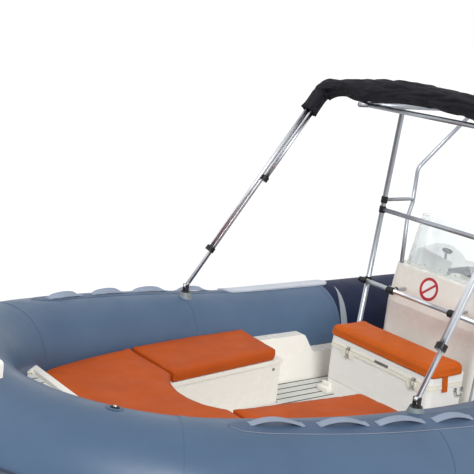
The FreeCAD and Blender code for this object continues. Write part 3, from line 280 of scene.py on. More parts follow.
COLLAR_BLUE = coated_fabric("collar_blue", (0.070, 0.124, 0.207), (0.056, 0.101, 0.177), 0.38)
# Dark navy copy of the collar fabric for the aft tubes: painted shade, the grey-blue tube lying in the
# canopy's shadow.
COLLAR_PAINTED_SHADE = coated_fabric("collar_navy", (0.0040, 0.0120, 0.052), (0.0028, 0.009, 0.041), 0.5, 0.2)
# Pale grey copy of the collar fabric: a painted sunlit patch on the shaded aft tube.
COLLAR_PAINTED_LIGHT = coated_fabric("collar_grey", (0.36, 0.41, 0.46), (0.30, 0.35, 0.40))
BAND_BLUE = coated_fabric("band_blue", (0.068, 0.110, 0.190), (0.056, 0.094, 0.168), 0.5)
BAND_EDGE = coated_fabric("band_edge", (0.26, 0.29, 0.34), (0.22, 0.25, 0.30), 0.5)
STRAP_BLUE = moulded("strap_rubber", (0.275, 0.325, 0.420), (0.230, 0.280, 0.370), 0.55)
STRAKE = moulded("strake_rubber", (0.055, 0.075, 0.105), (0.045, 0.06, 0.085), 0.55)
TREAD = moulded("tread_rubber", (0.57, 0.60, 0.66), (0.49, 0.53, 0.59), 0.6)
WHITE = gelcoat("gelcoat", (0.87, 0.84, 0.78), (0.82, 0.79, 0.72))
CREAM = moulded("chest_rim", (0.88, 0.86, 0.76), (0.84, 0.81, 0.70), 0.4, 90.0, 0.0003)
CHEST = moulded("chest_plastic", (0.89, 0.88, 0.85), (0.84, 0.83, 0.80), 0.42, 90.0, 0.0003)
ORANGE = vinyl("orange_vinyl", (0.480, 0.082, 0.008), (0.410, 0.066, 0.007))
# Brighter copy of the orange vinyl for the chest's cushion and straps: painted sunlight, the same vinyl lit
# more.
ORANGE_SUNLIT = vinyl("orange_vinyl_chest", (0.580, 0.112, 0.009), (0.500, 0.090, 0.008))
PLANK = planking("deck_planks", (0.66, 0.67, 0.64), (0.54, 0.55, 0.52))
CAULK = moulded("deck_caulk", (0.030, 0.032, 0.028), (0.02, 0.02, 0.02), 0.7)
TUBING = metal_tube("anodised_tube", (0.68, 0.70, 0.74), 0.36)
# Darker copy of the anodised tube for the console frame: painted shade, the darker surroundings that the
# frame reflects.
TUBE_PAINTED_SHADE = metal_tube("frame_tube", (0.38, 0.40, 0.44), 0.36)
STEEL = metal_tube("stainless_steel", (0.50, 0.50, 0.51), 0.18)
BRIGHT_STEEL = metal_tube("latch_steel", (0.55, 0.54, 0.51), 0.22)
NYLON = moulded("black_nylon", (0.010, 0.010, 0.011), (0.007, 0.007, 0.007), 0.42, shine=0.28)
FOOT_EARS = 0.046      # height of the nylon fitting over its rubber cone
FOOT = foot_finish("foot_rubber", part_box("canopy_foot_port")[1].z - FOOT_EARS, (0.20, 0.24, 0.26),
                   (0.018, 0.018, 0.019))
COVER = woven_cover("cover_cloth", (0.0040, 0.0040, 0.0075), (0.008, 0.008, 0.013))
ACRYLIC = clear_sheet("clear_acrylic")
COWL = gelcoat("cowl_paint", (0.020, 0.023, 0.028), (0.028, 0.031, 0.037), 0.2)
LEG_PAINT = moulded("leg_paint", (0.026, 0.028, 0.033), (0.04, 0.042, 0.046), 0.36, 120.0, 0.0003)
GRIP = moulded("grip_grey", (0.20, 0.20, 0.20), (0.13, 0.13, 0.13), 0.5)
SIGN_RED = moulded("sign_red", (0.50, 0.010, 0.020), (0.42, 0.012, 0.020), 0.35)
CARD_WHITE = moulded("card_white", (0.92, 0.92, 0.91), (0.88, 0.88, 0.88), 0.5)

# Finishes of the CAD nodes, by their names without the side
NODE_FINISH = {kind: finish for finish, kinds in (
    # The aft tubes (tube_stern) get the dark navy copy of the collar fabric: painted shade.
    (COLLAR_BLUE, "tube_side tube_bow"), (COLLAR_PAINTED_SHADE, "tube_stern"), (STRAKE, "rub_strake"),
    (STRAP_BLUE, "lifeline"), (TREAD, "tread_pad"), (CAULK, "floor_planking foredeck_planking"),
    (WHITE, "hull_bottom floor_panel side_coaming transom well_wall bow_nose bow_bench bow_locker"),
    (WHITE, "foredeck console helm_bench"), (CHEST, "chest_plinth chest_body chest_lid"),
    (ORANGE, "bow_pad side_cushion chest_cushion helm_cushion backrest"), (ACRYLIC, "windscreen"),
    # The console frame gets the darker copy of the tube metal: painted shade.
    (TUBE_PAINTED_SHADE, "frame frame_crossbars"), (TUBING, "grab_rail canopy_leg canopy_tubes backrest_posts"),
    (NYLON, "helm_boss steering_wheel canopy_clamps"), (FOOT, "canopy_foot"), (COVER, "canopy_boot"),
    (STEEL, "chest_hinges bow_eye stern_eyes propeller"), (COWL, "motor_cowl"),
    (LEG_PAINT, "motor_clamp motor_swivel motor_leg"),
) for kind in kinds.split()}

# Bent tubes that are drawn again, smooth, and the body that each rides on
TUBES = [(kind + "_" + side, body) for kind, body in
         (("canopy_leg", "canopy"), ("canopy_tubes", "canopy"), ("frame", "boat")) for side, way in SIDES]
TUBES += [("frame_crossbars", "boat"), ("grab_rail", "boat")]


def finish_of(node):
    """Finish of a CAD node, whichever side it is on."""
    return NODE_FINISH[node.replace("_port", "").replace("_starboard", "")]


def dress_nodes():
    """Gives each CAD node its finish."""
    for name, node in nodes.items():
        node.data.materials.clear()
        node.data.materials.append(finish_of(name))


def smooth_tubes():
    """Merged copies of the tube nodes, so that light runs along them unbroken."""
    for node, body in TUBES:
        tube = piece(node + "_smooth", node_copy(node), finish_of(node), body)
        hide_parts(node)


# Mesh helpers

SHARP_FROM = math.radians(42)


def placed(name, data):
    """New object in the scene."""
    obj = bpy.data.objects.new(name, data)
    bpy.context.scene.collection.objects.link(obj)
    return obj


def mesh_of(name, bm):
    """New mesh from a bmesh, which it frees."""
    mesh = bpy.data.meshes.new(name)
    bm.to_mesh(mesh)
    bm.free()
    return mesh


def piece(name, bm, finish, body, smooth=True):
    """Object from a bmesh, in place, riding on a body."""
    bmesh.ops.remove_doubles(bm, verts=bm.verts, dist=1e-6)
    bmesh.ops.recalc_face_normals(bm, faces=bm.faces)
    mesh = mesh_of(name, bm)
    for face in mesh.polygons:
        face.use_smooth = smooth
    if smooth:
        mesh.set_sharp_from_angle(angle=SHARP_FROM)
    return dressed(name, mesh, finish, body)


def dressed(name, mesh, finish, body):
    """Object of a mesh in one finish, riding on a body."""
    obj = placed(name, mesh)
    mesh.materials.clear()
    mesh.materials.append(finish)
    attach(obj, body)
    return obj


def evaluated_mesh(obj):
    """Plain mesh of an object with its modifiers."""
    graph = bpy.context.evaluated_depsgraph_get()
    graph.update()
    return bpy.data.meshes.new_from_object(obj.evaluated_get(graph))


def bridge(bm, a, b):
    """Faces between two rings of as many points, in order."""
    count = len(a)
    return [bm.faces.new((a[j], a[(j + 1) % count], b[(j + 1) % count], b[j])) for j in range(count)]


def sweep(bm, points, radius, closed=False, sides=10):
    """Round bar along points, capped where it isn't closed. radius may be a list."""
    count = len(points)
    rings = []
    for k, point in enumerate(points):
        ahead = points[(k + 1) % count] if closed or k < count - 1 else point
        behind = points[k - 1] if closed or k > 0 else point
        along = (ahead - behind).normalized()
        across = along.orthogonal() if k == 0 else across - along * across.dot(along)
        across.normalize()
        other = along.cross(across)
        r = radius[k] if isinstance(radius, list) else radius
        turns = [2 * math.pi * j / sides for j in range(sides)]
        rings.append([bm.verts.new(point + (across * math.cos(t) + other * math.sin(t)) * r) for t in turns])
    shift = 0
    if closed:
        gaps = [(rings[-1][j].co - rings[0][0].co).length for j in range(sides)]
        shift = gaps.index(min(gaps))
    last = count if closed else count - 1
    for k in range(last):
        a, b = rings[k], rings[(k + 1) % count]
        move = shift if k == count - 1 else 0
        bridge(bm, a[move:] + a[:move], b)
    if not closed:
        bm.faces.new(rings[0])
        bm.faces.new(rings[-1])


def join(bm, part, put=None):
    """Adds a part's faces to a bmesh, moved by a matrix, and frees the part."""
    if put:
        part.transform(put)
    mesh = mesh_of("part", part)
    bm.from_mesh(mesh)
    bpy.data.meshes.remove(mesh)


def block(bm, low, high, edge=0.0, put=None):
    """Box between two corners, with its edges rounded."""
    part = bmesh.new()
    bmesh.ops.create_cube(part, size=1.0)
    for v in part.verts:
        v.co = Vector(a + (t + 0.5) * (b - a) for t, a, b in zip(v.co, low, high))
    if edge:
        bmesh.ops.bevel(part, geom=part.edges[:], offset=edge, segments=2, profile=0.6, affect="EDGES")
    join(bm, part, put)


def lathe(bm, rows, sides=20):
    """Turned shape about Z from (radius, height) rows, closed where a radius is 0."""
    rings = []
    for r, z in rows:
        if r == 0:
            rings.append([bm.verts.new((0, 0, z))])
            continue
        turns = [2 * math.pi * j / sides for j in range(sides)]
        rings.append([bm.verts.new((r * math.cos(t), r * math.sin(t), z)) for t in turns])
    for a, b in zip(rings, rings[1:]):
        for j in range(sides):
            i = (j + 1) % sides
            corners = [a[j % len(a)], a[i % len(a)], b[i % len(b)], b[j % len(b)]]
            loop = [v for k, v in enumerate(corners) if v not in corners[:k]]
            if len(loop) > 2:
                bm.faces.new(loop)


def turned(bm, rows, sides, put):
    """Adds a turned shape to a bmesh, moved by a matrix."""
    part = bmesh.new()
    lathe(part, rows, sides)
    join(bm, part, put)


def facing(at, out):
    """Matrix that sets a shape's Z along out, at a point."""
    return Matrix.Translation(at) @ Vector(out).to_track_quat("Z", "Y").to_matrix().to_4x4()


def tree_of(mesh):
    """Search tree of a mesh's faces."""
    return BVHTree.FromPolygons([v.co for v in mesh.vertices], [p.vertices for p in mesh.polygons])


def cast(node, origin, towards):
    """Where a line meets a CAD node, and the face's direction there."""
    at, normal, index, far = tree_of(nodes[node].data).ray_cast(Vector(origin), Vector(towards))
    if at is None:
        raise ValueError(f"no face of {node} on the line from {tuple(origin)}")
    return at, normal


def shell_patch(bm, point_at, columns, rows, thick):
    """Closed thin shell: point_at(u, v, out) gives its points for u and v from 0 to 1."""

    def sheet(out):
        return [[bm.verts.new(point_at(i / columns, j / rows, out)) for j in range(rows + 1)]
                for i in range(columns + 1)]

    top, low = sheet(thick), sheet(0.0)
    for i in range(columns):
        for j in range(rows):
            bm.faces.new((top[i][j], top[i + 1][j], top[i + 1][j + 1], top[i][j + 1]))
            bm.faces.new((low[i][j], low[i][j + 1], low[i + 1][j + 1], low[i + 1][j]))
    rim = [(i, 0) for i in range(columns)] + [(columns, j) for j in range(rows)]
    rim += [(i, rows) for i in range(columns, 0, -1)] + [(0, j) for j in range(rows, 0, -1)]
    for (i, j), (p, q) in zip(rim, rim[1:] + rim[:1]):
        bm.faces.new((low[i][j], low[p][q], top[p][q], top[i][j]))


def shell(name, point_at, columns, rows, thick, finish, body):
    """Piece that is one thin shell."""
    bm = bmesh.new()
    shell_patch(bm, point_at, columns, rows, thick)
    return piece(name, bm, finish, body)


def ease(t):
    """Smooth step from 0 to 1."""
    t = max(0.0, min(1.0, t))
    return t * t * (3 - 2 * t)


# Geometry node trees

def node_tree(name, inputs):
    """Tree with a geometry and labelled inputs; returns it, its inputs' sockets and its output node."""
    tree = bpy.data.node_groups.new(name, "GeometryNodeTree")
    tree.interface.new_socket("Geometry", in_out="INPUT", socket_type="NodeSocketGeometry")
    tree.interface.new_socket("Geometry", in_out="OUTPUT", socket_type="NodeSocketGeometry")
    for label, kind in inputs:
        tree.interface.new_socket(label, in_out="INPUT", socket_type="NodeSocket" + kind)
    return tree, tree.nodes.new("NodeGroupInput").outputs, tree.nodes.new("NodeGroupOutput")


def linked(tree, kind, **sockets):
    """Node of a kind in a tree, with sockets linked to its named inputs."""
    node = tree.nodes.new(kind)
    for key, socket in sockets.items():
        tree.links.new(socket, node.inputs[key.replace("_", " ")])
    return node


def run_tree(tree, mesh, values):
    """Plain mesh that a tree makes from a mesh, with its inputs set by their labels."""
    host = placed("host", mesh)
    mod = host.modifiers.new("tree", "NODES")
    mod.node_group = tree
    for item in tree.interface.items_tree:
        if item.in_out == "INPUT" and item.name in values:
            mod[item.identifier] = values[item.name]
    result = evaluated_mesh(host)
    bpy.data.objects.remove(host)
    return result


def item_tree():
    """Puts an item on every point, its Z along the point's own direction."""
    tree, given, end = node_tree("set_items", [("Item", "Object"), ("Size", "Float"), ("Finish", "Material")])
    towards = linked(tree, "GeometryNodeInputNamedAttribute")
    towards.data_type = "FLOAT_VECTOR"
    towards.inputs["Name"].default_value = "facing"
    turn = linked(tree, "FunctionNodeAlignRotationToVector", Vector=towards.outputs["Attribute"])
    turn.axis = "Z"
    info = linked(tree, "GeometryNodeObjectInfo", Object=given["Item"])
    copies = linked(tree, "GeometryNodeInstanceOnPoints", Points=given["Geometry"], Scale=given["Size"],
                    Instance=info.outputs["Geometry"], Rotation=turn.outputs["Rotation"])
    real = linked(tree, "GeometryNodeRealizeInstances", Geometry=copies.outputs["Instances"])
    paint = linked(tree, "GeometryNodeSetMaterial", Geometry=real.outputs["Geometry"],
                   Material=given["Finish"])
    tree.links.new(paint.outputs["Geometry"], end.inputs["Geometry"])
    return tree


def plank_tree():
    """Lays planks fore and aft and cuts them to a deck panel's outline."""
    inputs = [("Pitch", "Float"), ("Count", "Int"), ("First", "Vector"), ("Size", "Vector"),
              ("Finish", "Material")]
    tree, given, end = node_tree("lay_planks", inputs)
    step = linked(tree, "ShaderNodeCombineXYZ", Y=given["Pitch"])
    row = linked(tree, "GeometryNodeMeshLine", Count=given["Count"], Start_Location=given["First"],
                 Offset=step.outputs["Vector"])
    plank = linked(tree, "GeometryNodeMeshCube", Size=given["Size"])
    copies = linked(tree, "GeometryNodeInstanceOnPoints", Points=row.outputs["Mesh"],
                    Instance=plank.outputs["Mesh"])
    real = linked(tree, "GeometryNodeRealizeInstances", Geometry=copies.outputs["Instances"])
    cut = linked(tree, "GeometryNodeMeshBoolean")
    cut.operation = "INTERSECT"
    cut.solver = "EXACT"
    for solid in (given["Geometry"], real.outputs["Geometry"]):
        tree.links.new(solid, cut.inputs["Mesh 2"])
    paint = linked(tree, "GeometryNodeSetMaterial", Geometry=cut.outputs["Mesh"], Material=given["Finish"])
    tree.links.new(paint.outputs["Geometry"], end.inputs["Geometry"])
    return tree


SET_ITEMS = item_tree()
LAY_PLANKS = plank_tree()


def set_items(name, places, item, finish, body, size=1.0):
    """One mesh with an item at each (point, direction)."""
    mesh = bpy.data.meshes.new(name + "_points")
    mesh.from_pydata([p for p, d in places], [], [])
    towards = mesh.attributes.new("facing", "FLOAT_VECTOR", "POINT")
    for k, (p, d) in enumerate(places):
        towards.data[k].vector = d
    made = run_tree(SET_ITEMS, mesh, {"Item": item, "Size": size, "Finish": finish})
    made.name = name
    return dressed(name, made, finish, body)


def item_mesh(name, rows, sides):
    """Hidden turned object that the item tree copies."""
    bm = bmesh.new()
    lathe(bm, rows, sides)
    bmesh.ops.recalc_face_normals(bm, faces=bm.faces)
    mesh = mesh_of(name, bm)
    for face in mesh.polygons:
        face.use_smooth = True
    obj = bpy.data.objects.new(name, mesh)
    return obj


STITCH = item_mesh("stitch", [(0, -0.0026), (0.0006, -0.0022), (0.0007, 0), (0.0006, 0.0022), (0, 0.0026)], 6)
SCREW = item_mesh("screw_head", [(0, -0.001), (0.0052, -0.001), (0.0052, 0.0006), (0.0038, 0.0024),
                                 (0.0022, 0.0030), (0.0020, 0.0016), (0, 0.0016)], 14)
BOLT = item_mesh("bolt_head", [(0, -0.001), (0.016, -0.001), (0.016, 0.002), (0.011, 0.0025),
                               (0.011, 0.0085), (0.009, 0.0100), (0, 0.0100)], 6)


# Deck

PLANK_PITCH = 0.062
PLANK_GAP = 0.012
PLANK_UP = 0.0012      # over the panel
PLANK_SPARE = 0.1      # length and height that the cut takes away


def deck_planks(node):
    """Planks over a deck panel's caulk, standing just over it."""
    low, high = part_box(node)
    bm = node_copy(node)
    bmesh.ops.translate(bm, verts=bm.verts, vec=(0, 0, PLANK_UP))
    base = mesh_of(node + "_base", bm)
    count = int((high.y - low.y) / PLANK_PITCH) + 2
    size = Vector((high.x - low.x + PLANK_SPARE, PLANK_PITCH - PLANK_GAP, high.z - low.z + PLANK_SPARE))
    first = Vector(((low.x + high.x) / 2, -PLANK_PITCH * (count - 1) / 2, (low.z + high.z) / 2))
    made = run_tree(LAY_PLANKS, base, {"Pitch": PLANK_PITCH, "Count": count, "First": first,
                                       "Size": size, "Finish": PLANK})
    dressed(node + "_planks", made, PLANK, "boat")


# Cushions

# Node, body, voxel size, cap on the swelling
CUSHIONS = (
    ("bow_pad", "boat", 0.0105, 0.007),
    ("side_cushion_port", "boat", 0.0095, 0.006),
    ("side_cushion_starboard", "boat", 0.0095, 0.006),
    ("chest_cushion", "chest_lid", 0.0085, 0.007),
    ("helm_cushion", "boat", 0.0085, 0.010),
    ("backrest", "boat", 0.0085, 0.008),
)
PRESSURE = 3.2
SIM_FRAMES = 18
SOFTEN_TURNS = 7
INSET = 0.002
HELD_HIGH = 0.006      # height over its underside that a cushion is held to
WELT_R = 0.0028
WELT_SUNK = 0.35       # share of its radius that the welt's line lies in the vinyl
STITCH_IN = 0.008      # from the welt inward
STITCH_UP = 0.004
STITCH_OUT = 0.0004    # over the vinyl


def node_copy(node):
    """bmesh of a CAD node with its loose triangles merged."""
    bm = bmesh.new()
    bm.from_mesh(nodes[node].data)
    bmesh.ops.remove_doubles(bm, verts=bm.verts, dist=1e-5)
    return bm


def rim_points(node, top, step=0.006):
    """Closed outline of a solid's top or bottom face, resampled at even steps."""
    low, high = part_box(node)
    level = high.z if top else low.z
    bm = node_copy(node)
    flat = [f for f in bm.faces if all(abs(v.co.z - level) < 1e-4 for v in f.verts)]
    rim = [e for e in bm.edges if sum(f in flat for f in e.link_faces) == 1]
    ahead = {}
    for e in rim:
        a, b = e.verts
        ahead.setdefault(a, []).append(b)
        ahead.setdefault(b, []).append(a)
    start = rim[0].verts[0]
    loop, last, here = [start], None, start
    while True:
        onward = [v for v in ahead[here] if v is not last]
        last, here = here, onward[0]
        if here is start:
            break
        loop.append(here)
    corners = [v.co.copy() for v in loop]
    bm.free()
    points = []
    for a, b in zip(corners, corners[1:] + corners[:1]):
        parts = max(1, round((b - a).length / step))
        points += [a.lerp(b, k / parts) for k in range(parts)]
    return points


def soft_start(node, voxel):
    """Remeshed, softened copy of a cushion's solid, a little smaller than it."""
    obj = placed(node + "_soft", mesh_of(node + "_soft", node_copy(node)))
    remesh = obj.modifiers.new("remesh", "REMESH")
    remesh.mode = "VOXEL"
    remesh.voxel_size = voxel
    fine = evaluated_mesh(obj)
    obj.modifiers.clear()
    obj.data = fine
    bm = bmesh.new()
    bm.from_mesh(fine)
    low = min(v.co.z for v in bm.verts)
    for turn in range(SOFTEN_TURNS):
        bmesh.ops.smooth_vert(bm, verts=bm.verts, factor=0.5, use_axis_x=True, use_axis_y=True,
                              use_axis_z=True)
    bm.normal_update()
    for v in bm.verts:
        v.co -= v.normal * INSET
        v.co.z = max(v.co.z, low)
    bm.to_mesh(fine)
    bm.free()
    return obj


def swell(objects):
    """Blows the soft pieces up as cloth, all in one run, each held along its underside."""
    scene = bpy.context.scene
    for obj in objects:
        low = min(v.co.z for v in obj.data.vertices)
        held = obj.vertex_groups.new(name="held")
        held.add([v.index for v in obj.data.vertices if v.co.z < low + HELD_HIGH], 1.0, "REPLACE")
        cloth = obj.modifiers.new("cloth", "CLOTH")
        settings = cloth.settings
        settings.quality = 5
        settings.use_pressure = True
        settings.uniform_pressure_force = PRESSURE
        settings.tension_stiffness = 22
        settings.compression_stiffness = 22
        settings.bending_stiffness = 0.6
        settings.vertex_group_mass = "held"
        settings.effector_weights.gravity = 0
        cloth.point_cache.frame_end = SIM_FRAMES
    for number in range(1, SIM_FRAMES + 1):
        scene.frame_set(number)
    swollen = [evaluated_mesh(obj) for obj in objects]
    for obj, mesh in zip(objects, swollen):
        obj.modifiers.clear()
        cap = obj["cap"]
        for v, moved in zip(obj.data.vertices, mesh.vertices):
            step = moved.co - v.co
            v.co += step if step.length < cap else step.normalized() * cap
    scene.frame_set(1)


def cushions():
    """Vinyl cushions in place of the CAD ones."""
    soft = []
    for node, body, voxel, cap in CUSHIONS:
        obj = soft_start(node, voxel)
        obj["cap"] = cap
        soft.append(obj)
    swell(soft)
    for obj, (node, body, voxel, cap) in zip(soft, CUSHIONS):
        sub = obj.modifiers.new("smooth", "SUBSURF")
        sub.levels = sub.render_levels = 1
        mesh = evaluated_mesh(obj)
        bpy.data.objects.remove(obj)
        mesh.name = node + "_vinyl"
        for face in mesh.polygons:
            face.use_smooth = True
        # The chest's cushion gets the brighter copy of the vinyl: painted sunlight.
        finish = ORANGE_SUNLIT if body == "chest_lid" else ORANGE
        pad = dressed(node + "_vinyl", mesh, finish, body)
        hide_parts(node)
        sew(pad, node, body, finish)


def sew(pad, node, body, finish):
    """Welt round the top and the bottom of a cushion, and a row of stitches inside the top one."""
    tree = tree_of(pad.data)
    bm = bmesh.new()
    places = []
    for top in (True, False):
        rim = rim_points(node, top)
        middle = sum(rim, Vector()) / len(rim)
        line = []
        for p in rim:
            at, normal, index, far = tree.find_nearest(p)
            line.append(at - normal * WELT_R * WELT_SUNK)
        sweep(bm, line, WELT_R, closed=True, sides=8)
        if not top:
            continue
        for k, spot in enumerate(line):
            ahead = (line[(k + 1) % len(line)] - spot).normalized()
            inward = Vector((middle.x - spot.x, middle.y - spot.y, 0)).normalized()
            side = ahead.cross(Vector((0, 0, 1))).normalized()
            side = side if side.dot(inward) > 0 else -side
            at, normal, index, far = tree.find_nearest(spot + side * STITCH_IN + Vector((0, 0, STITCH_UP)))
            places.append((at + normal * STITCH_OUT, ahead))
    piece(node + "_welt", bm, finish, body)
    set_items(node + "_stitches", places, STITCH, finish, body)


# Folded canopy's cover

COVER_R = 0.048        # at the corners
COVER_MORE = 0.021     # added over the middle
COVER_LIFT = 0.042     # the middle's height over the line of its tubes
COVER_SHOULDER = 0.32  # from a corner to the full width
COVER_RISE = 0.95      # from a corner to the full height
COVER_DROOP = 0.028    # how far the corners hang
COVER_DROOP_OUT = 0.55  # share of the droop by which they also lean outboard
COVER_BEND = 0.075     # radius of the corners
COVER_STEP = 0.006     # between rings
COVER_SIDES = 56
COVER_END = 0.205      # from the corner to the cover's open end
COVER_CORNER_Y = 0.803
COVER_INSET = 0.055    # from the CAD cover's aft side and top to the corner
COVER_BUNCHED = 0.080  # how far from a corner the cloth is bunched
COVER_GATHERED = 0.026  # how far from an open end it is gathered
COVER_TOP = 0.92       # height of the upper half over its width
COVER_TUCK = 7         # rings that the open ends are tucked in by
COVER_TUCKS = ((0.90, 0.0), (0.80, 0.5), (0.62, 1.0))  # share of the opening, share of the depth
ARC_STEPS = 12
CANOPY_FOOT_Y = 0.924


def canopy_line():
    """Corner and open end of the folded canopy on the port side."""
    pivot = Vector([j for j in frame["joints"] if j["name"] == "canopy_swing"][0]["pos_m"])
    pivot.y = CANOPY_FOOT_Y
    low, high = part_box("canopy_boot")
    corner = Vector((low.x + COVER_INSET, COVER_CORNER_Y, high.z - COVER_INSET))
    return corner, corner - (corner - pivot).normalized() * COVER_END


def rounded(points, bend, step):
    """Even points along straight runs joined by arcs, and their length."""
    line = [points[0]]
    for before, corner, after in zip(points, points[1:], points[2:]):
        a, b = (before - corner).normalized(), (after - corner).normalized()
        half = a.angle(b) / 2
        back = bend / math.tan(half)
        centre = corner + (a + b).normalized() * (bend / math.sin(half))
        u, v = corner + a * back - centre, corner + b * back - centre
        turn = u.angle(v)
        for k in range(ARC_STEPS + 1):
            t = k / ARC_STEPS
            line.append(centre + (u * math.sin((1 - t) * turn) + v * math.sin(t * turn)) / math.sin(turn))
    line.append(points[-1])
    lengths = [(b - a).length for a, b in zip(line, line[1:])]
    total = sum(lengths)
    even, walked, k = [], 0.0, 0
    count = max(2, round(total / step))
    for j in range(count + 1):
        want = total * j / count
        while k < len(lengths) - 1 and walked + lengths[k] < want:
            walked += lengths[k]
            k += 1
        even.append(line[k].lerp(line[k + 1], (want - walked) / max(lengths[k], 1e-9)))
    return even, total


def cover_radius(s, t, full, bunched, gathered):
    """Radius of the cover at s along it and t round it, with its folds, creases, puckers and gathers."""
    c, d = math.cos(t), math.sin(t)
    fold = noise.noise(Vector((s * 2.4, c * 1.5, d * 1.5 + 3.1)))
    lie = noise.noise(Vector((s * 9.0 + 2.2 * c, c * 1.3 + 6.0, d * 1.3 - s * 2.0)))
    valley = noise.noise(Vector((s * 6.0 + 1.5 * c, c * 2.1 + 9.0, d * 2.1 + s)))
    pinch = noise.noise(Vector((s * 17.0, c * 2.6 - 4.0, d * 2.6)))
    crease = 1 - min(1.0, abs(valley) * 3.4)
    pucker = 1 - min(1.0, abs(pinch) * 2.6)
    gather = math.sin(11 * t + 6 * fold) * gathered * 0.0075
    bag = (0.015 + 0.014 * lie) * bunched
    r = (COVER_R + COVER_MORE * full) * (1 + 0.05 * gathered) + bag + gather
    r += 0.011 * fold + 0.006 * lie - 0.0105 * crease * (0.5 + 0.5 * full) - 0.010 * pucker * bunched
    return r


def canopy_cover():
    """Cloth sleeve over the folded canopy: long folds, gathers at its ends and at the two bends."""
    corner, mouth = canopy_line()
    mirrored = [Vector((p.x, -p.y, p.z)) for p in (corner, mouth)]
    line, total = rounded([mouth, corner, *mirrored], COVER_BEND, COVER_STEP)
    last = len(line) - 1
    bm = bmesh.new()
    layer = bm.loops.layers.uv.new("cover")
    rings = []
    end = (corner - mouth).length
    for k, point in enumerate(line):
        along = (line[min(k + 1, last)] - line[max(k - 1, 0)]).normalized()
        forward = Vector((1, 0, 0)) - along * along.x
        forward.normalize()
        up = along.cross(forward)
        if up.z + up.x * 0.4 < 0:
            up = -up
        s = total * k / last
        inside = min(s - end, total - end - s)
        bunched = max(math.exp(-((s - at) / COVER_BUNCHED) ** 2) for at in (end, total - end))
        gathered = max(math.exp(-(far / COVER_GATHERED) ** 2) for far in (s, total - s))
        full = ease(inside / COVER_SHOULDER)
        lift = COVER_LIFT * ease(inside / COVER_RISE) - COVER_DROOP * bunched
        point = point + Vector((0, math.copysign(COVER_DROOP_OUT * COVER_DROOP * bunched, point.y), lift))
        ring = []
        for j in range(COVER_SIDES):
            t = 2 * math.pi * j / COVER_SIDES
            r = cover_radius(s, t, full, bunched, gathered)
            c, d = math.cos(t), math.sin(t)
            squash = COVER_TOP if d > 0 else 1.0
            ring.append(bm.verts.new(point + forward * (c * r) + up * (d * r * squash)))
        rings.append(ring)
    for k in range(last):
        for j, face in enumerate(bridge(bm, rings[k], rings[k + 1])):
            spots = ((k, j), (k, j + 1), (k + 1, j + 1), (k + 1, j))
            for loop, (a, b) in zip(face.loops, spots):
                loop[layer].uv = (total * a / last, 2 * math.pi * COVER_R * b / COVER_SIDES)
    for ring, inside in ((rings[0], line[COVER_TUCK]), (rings[-1], line[-1 - COVER_TUCK])):
        middle = sum((v.co for v in ring), Vector()) / COVER_SIDES
        outer = ring
        for share, depth in COVER_TUCKS:
            inner = [bm.verts.new(middle + (v.co - middle) * share + (inside - middle) * depth) for v in ring]
            bridge(bm, outer, inner)
            outer = inner
        bm.faces.new(outer)
    cover = piece("canopy_cover", bm, COVER, "canopy")
    sub = cover.modifiers.new("smooth", "SUBSURF")
    sub.levels = sub.render_levels = 1
    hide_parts("canopy_boot")


# On the collar

LOOPS = ((0.352, 0.579), (0.672, 0.910), (0.992, 1.211), (1.312, 1.527))
LOOP_LEAN = (12.5, 1.5)
LOOP_S = (0.462, 1.413)
LOOP_HEIGHT = 0.022
LOOP_FOOT = 0.016
LOOP_TILT = {"port": 0.0, "starboard": math.radians(36)}
STRAP_HALF = 0.0185
STRAP_THICK = 0.003
STRAP_REST = 0.0014    # over the collar
BAND_LOW = [(0.20, 26.5), (0.371, 25.1), (1.06, 19.6), (1.50, 15.0), (1.592, 12.0), (1.640, 4.5)]
BAND_TOP = [(0.20, -2.0), (1.06, -6.0), (1.50, -7.5), (1.592, -5.0), (1.640, 2.0)]
TAPE_HALF = 0.017
TAPE_T = 0.0009
# The stern tape is in the dark navy copy of the collar fabric: painted shade.
TAPES = (("step", SEAM_S, COLLAR_BLUE), ("flare", FLARE_S, COLLAR_BLUE), ("bow", BOW_S + 0.16, COLLAR_BLUE),
         ("stern", STERN_S + 0.03, COLLAR_PAINTED_SHADE))
PATCH_REST = 0.0004


def between_rows(rows, x):
    """Value at x from (x, value) rows."""
    for (xa, a), (xb, b) in zip(rows, rows[1:]):
        if x <= xb:
            return a + (b - a) * max(0.0, x - xa) / (xb - xa)
    return rows[-1][1]


def band_low(s):
    """Lean of the loop band's lower edge."""
    return between_rows(BAND_LOW, s)


def strap_lean(s):
    """Lean of the grab loops' middle line."""
    return LOOP_LEAN[0] + (LOOP_LEAN[1] - LOOP_LEAN[0]) * (s - LOOP_S[0]) / (LOOP_S[-1] - LOOP_S[0])


def collar_patch(name, way, ends, low_at, high_at, thick, finish, columns, rows):
    """Thin glued patch between two edges, each a lean angle for a place along the collar."""
    def point(u, v, out):
        s = ends[0] + (ends[1] - ends[0]) * u
        return on_collar(s, low_at(s) * (1 - v) + high_at(s) * v, PATCH_REST + out, way)

    shell(name, point, columns, rows, thick, finish, "boat")


def collar_trim():
    """Bands, grab loops, tread pads, seam tapes, the painted sunlit crescents and valves of both sides."""
    for side, way in SIDES:
        collar_patch("loop_band_" + side, way, (0.20, 1.640), band_low, lambda s: between_rows(BAND_TOP, s),
                     0.0011, BAND_BLUE, 120, 10)
        collar_patch("band_edge_" + side, way, (0.20, 1.636), lambda s: band_low(s) - 0.1,
                     lambda s: band_low(s) + 0.5, 0.0017, BAND_EDGE, 120, 2)
        lifeline(side, way)
        tread_pad(side, way)
        for name, s, finish in TAPES:
            collar_patch("seam_tape_" + name + "_" + side, way, (s - TAPE_HALF, s + TAPE_HALF),
                         lambda s: -180.0, lambda s: 180.0, TAPE_T, finish, 2, 96)
        # Painted light: a grey sunlit patch on the shaded aft tube.
        crescent(side, way)
        valve(side, way)


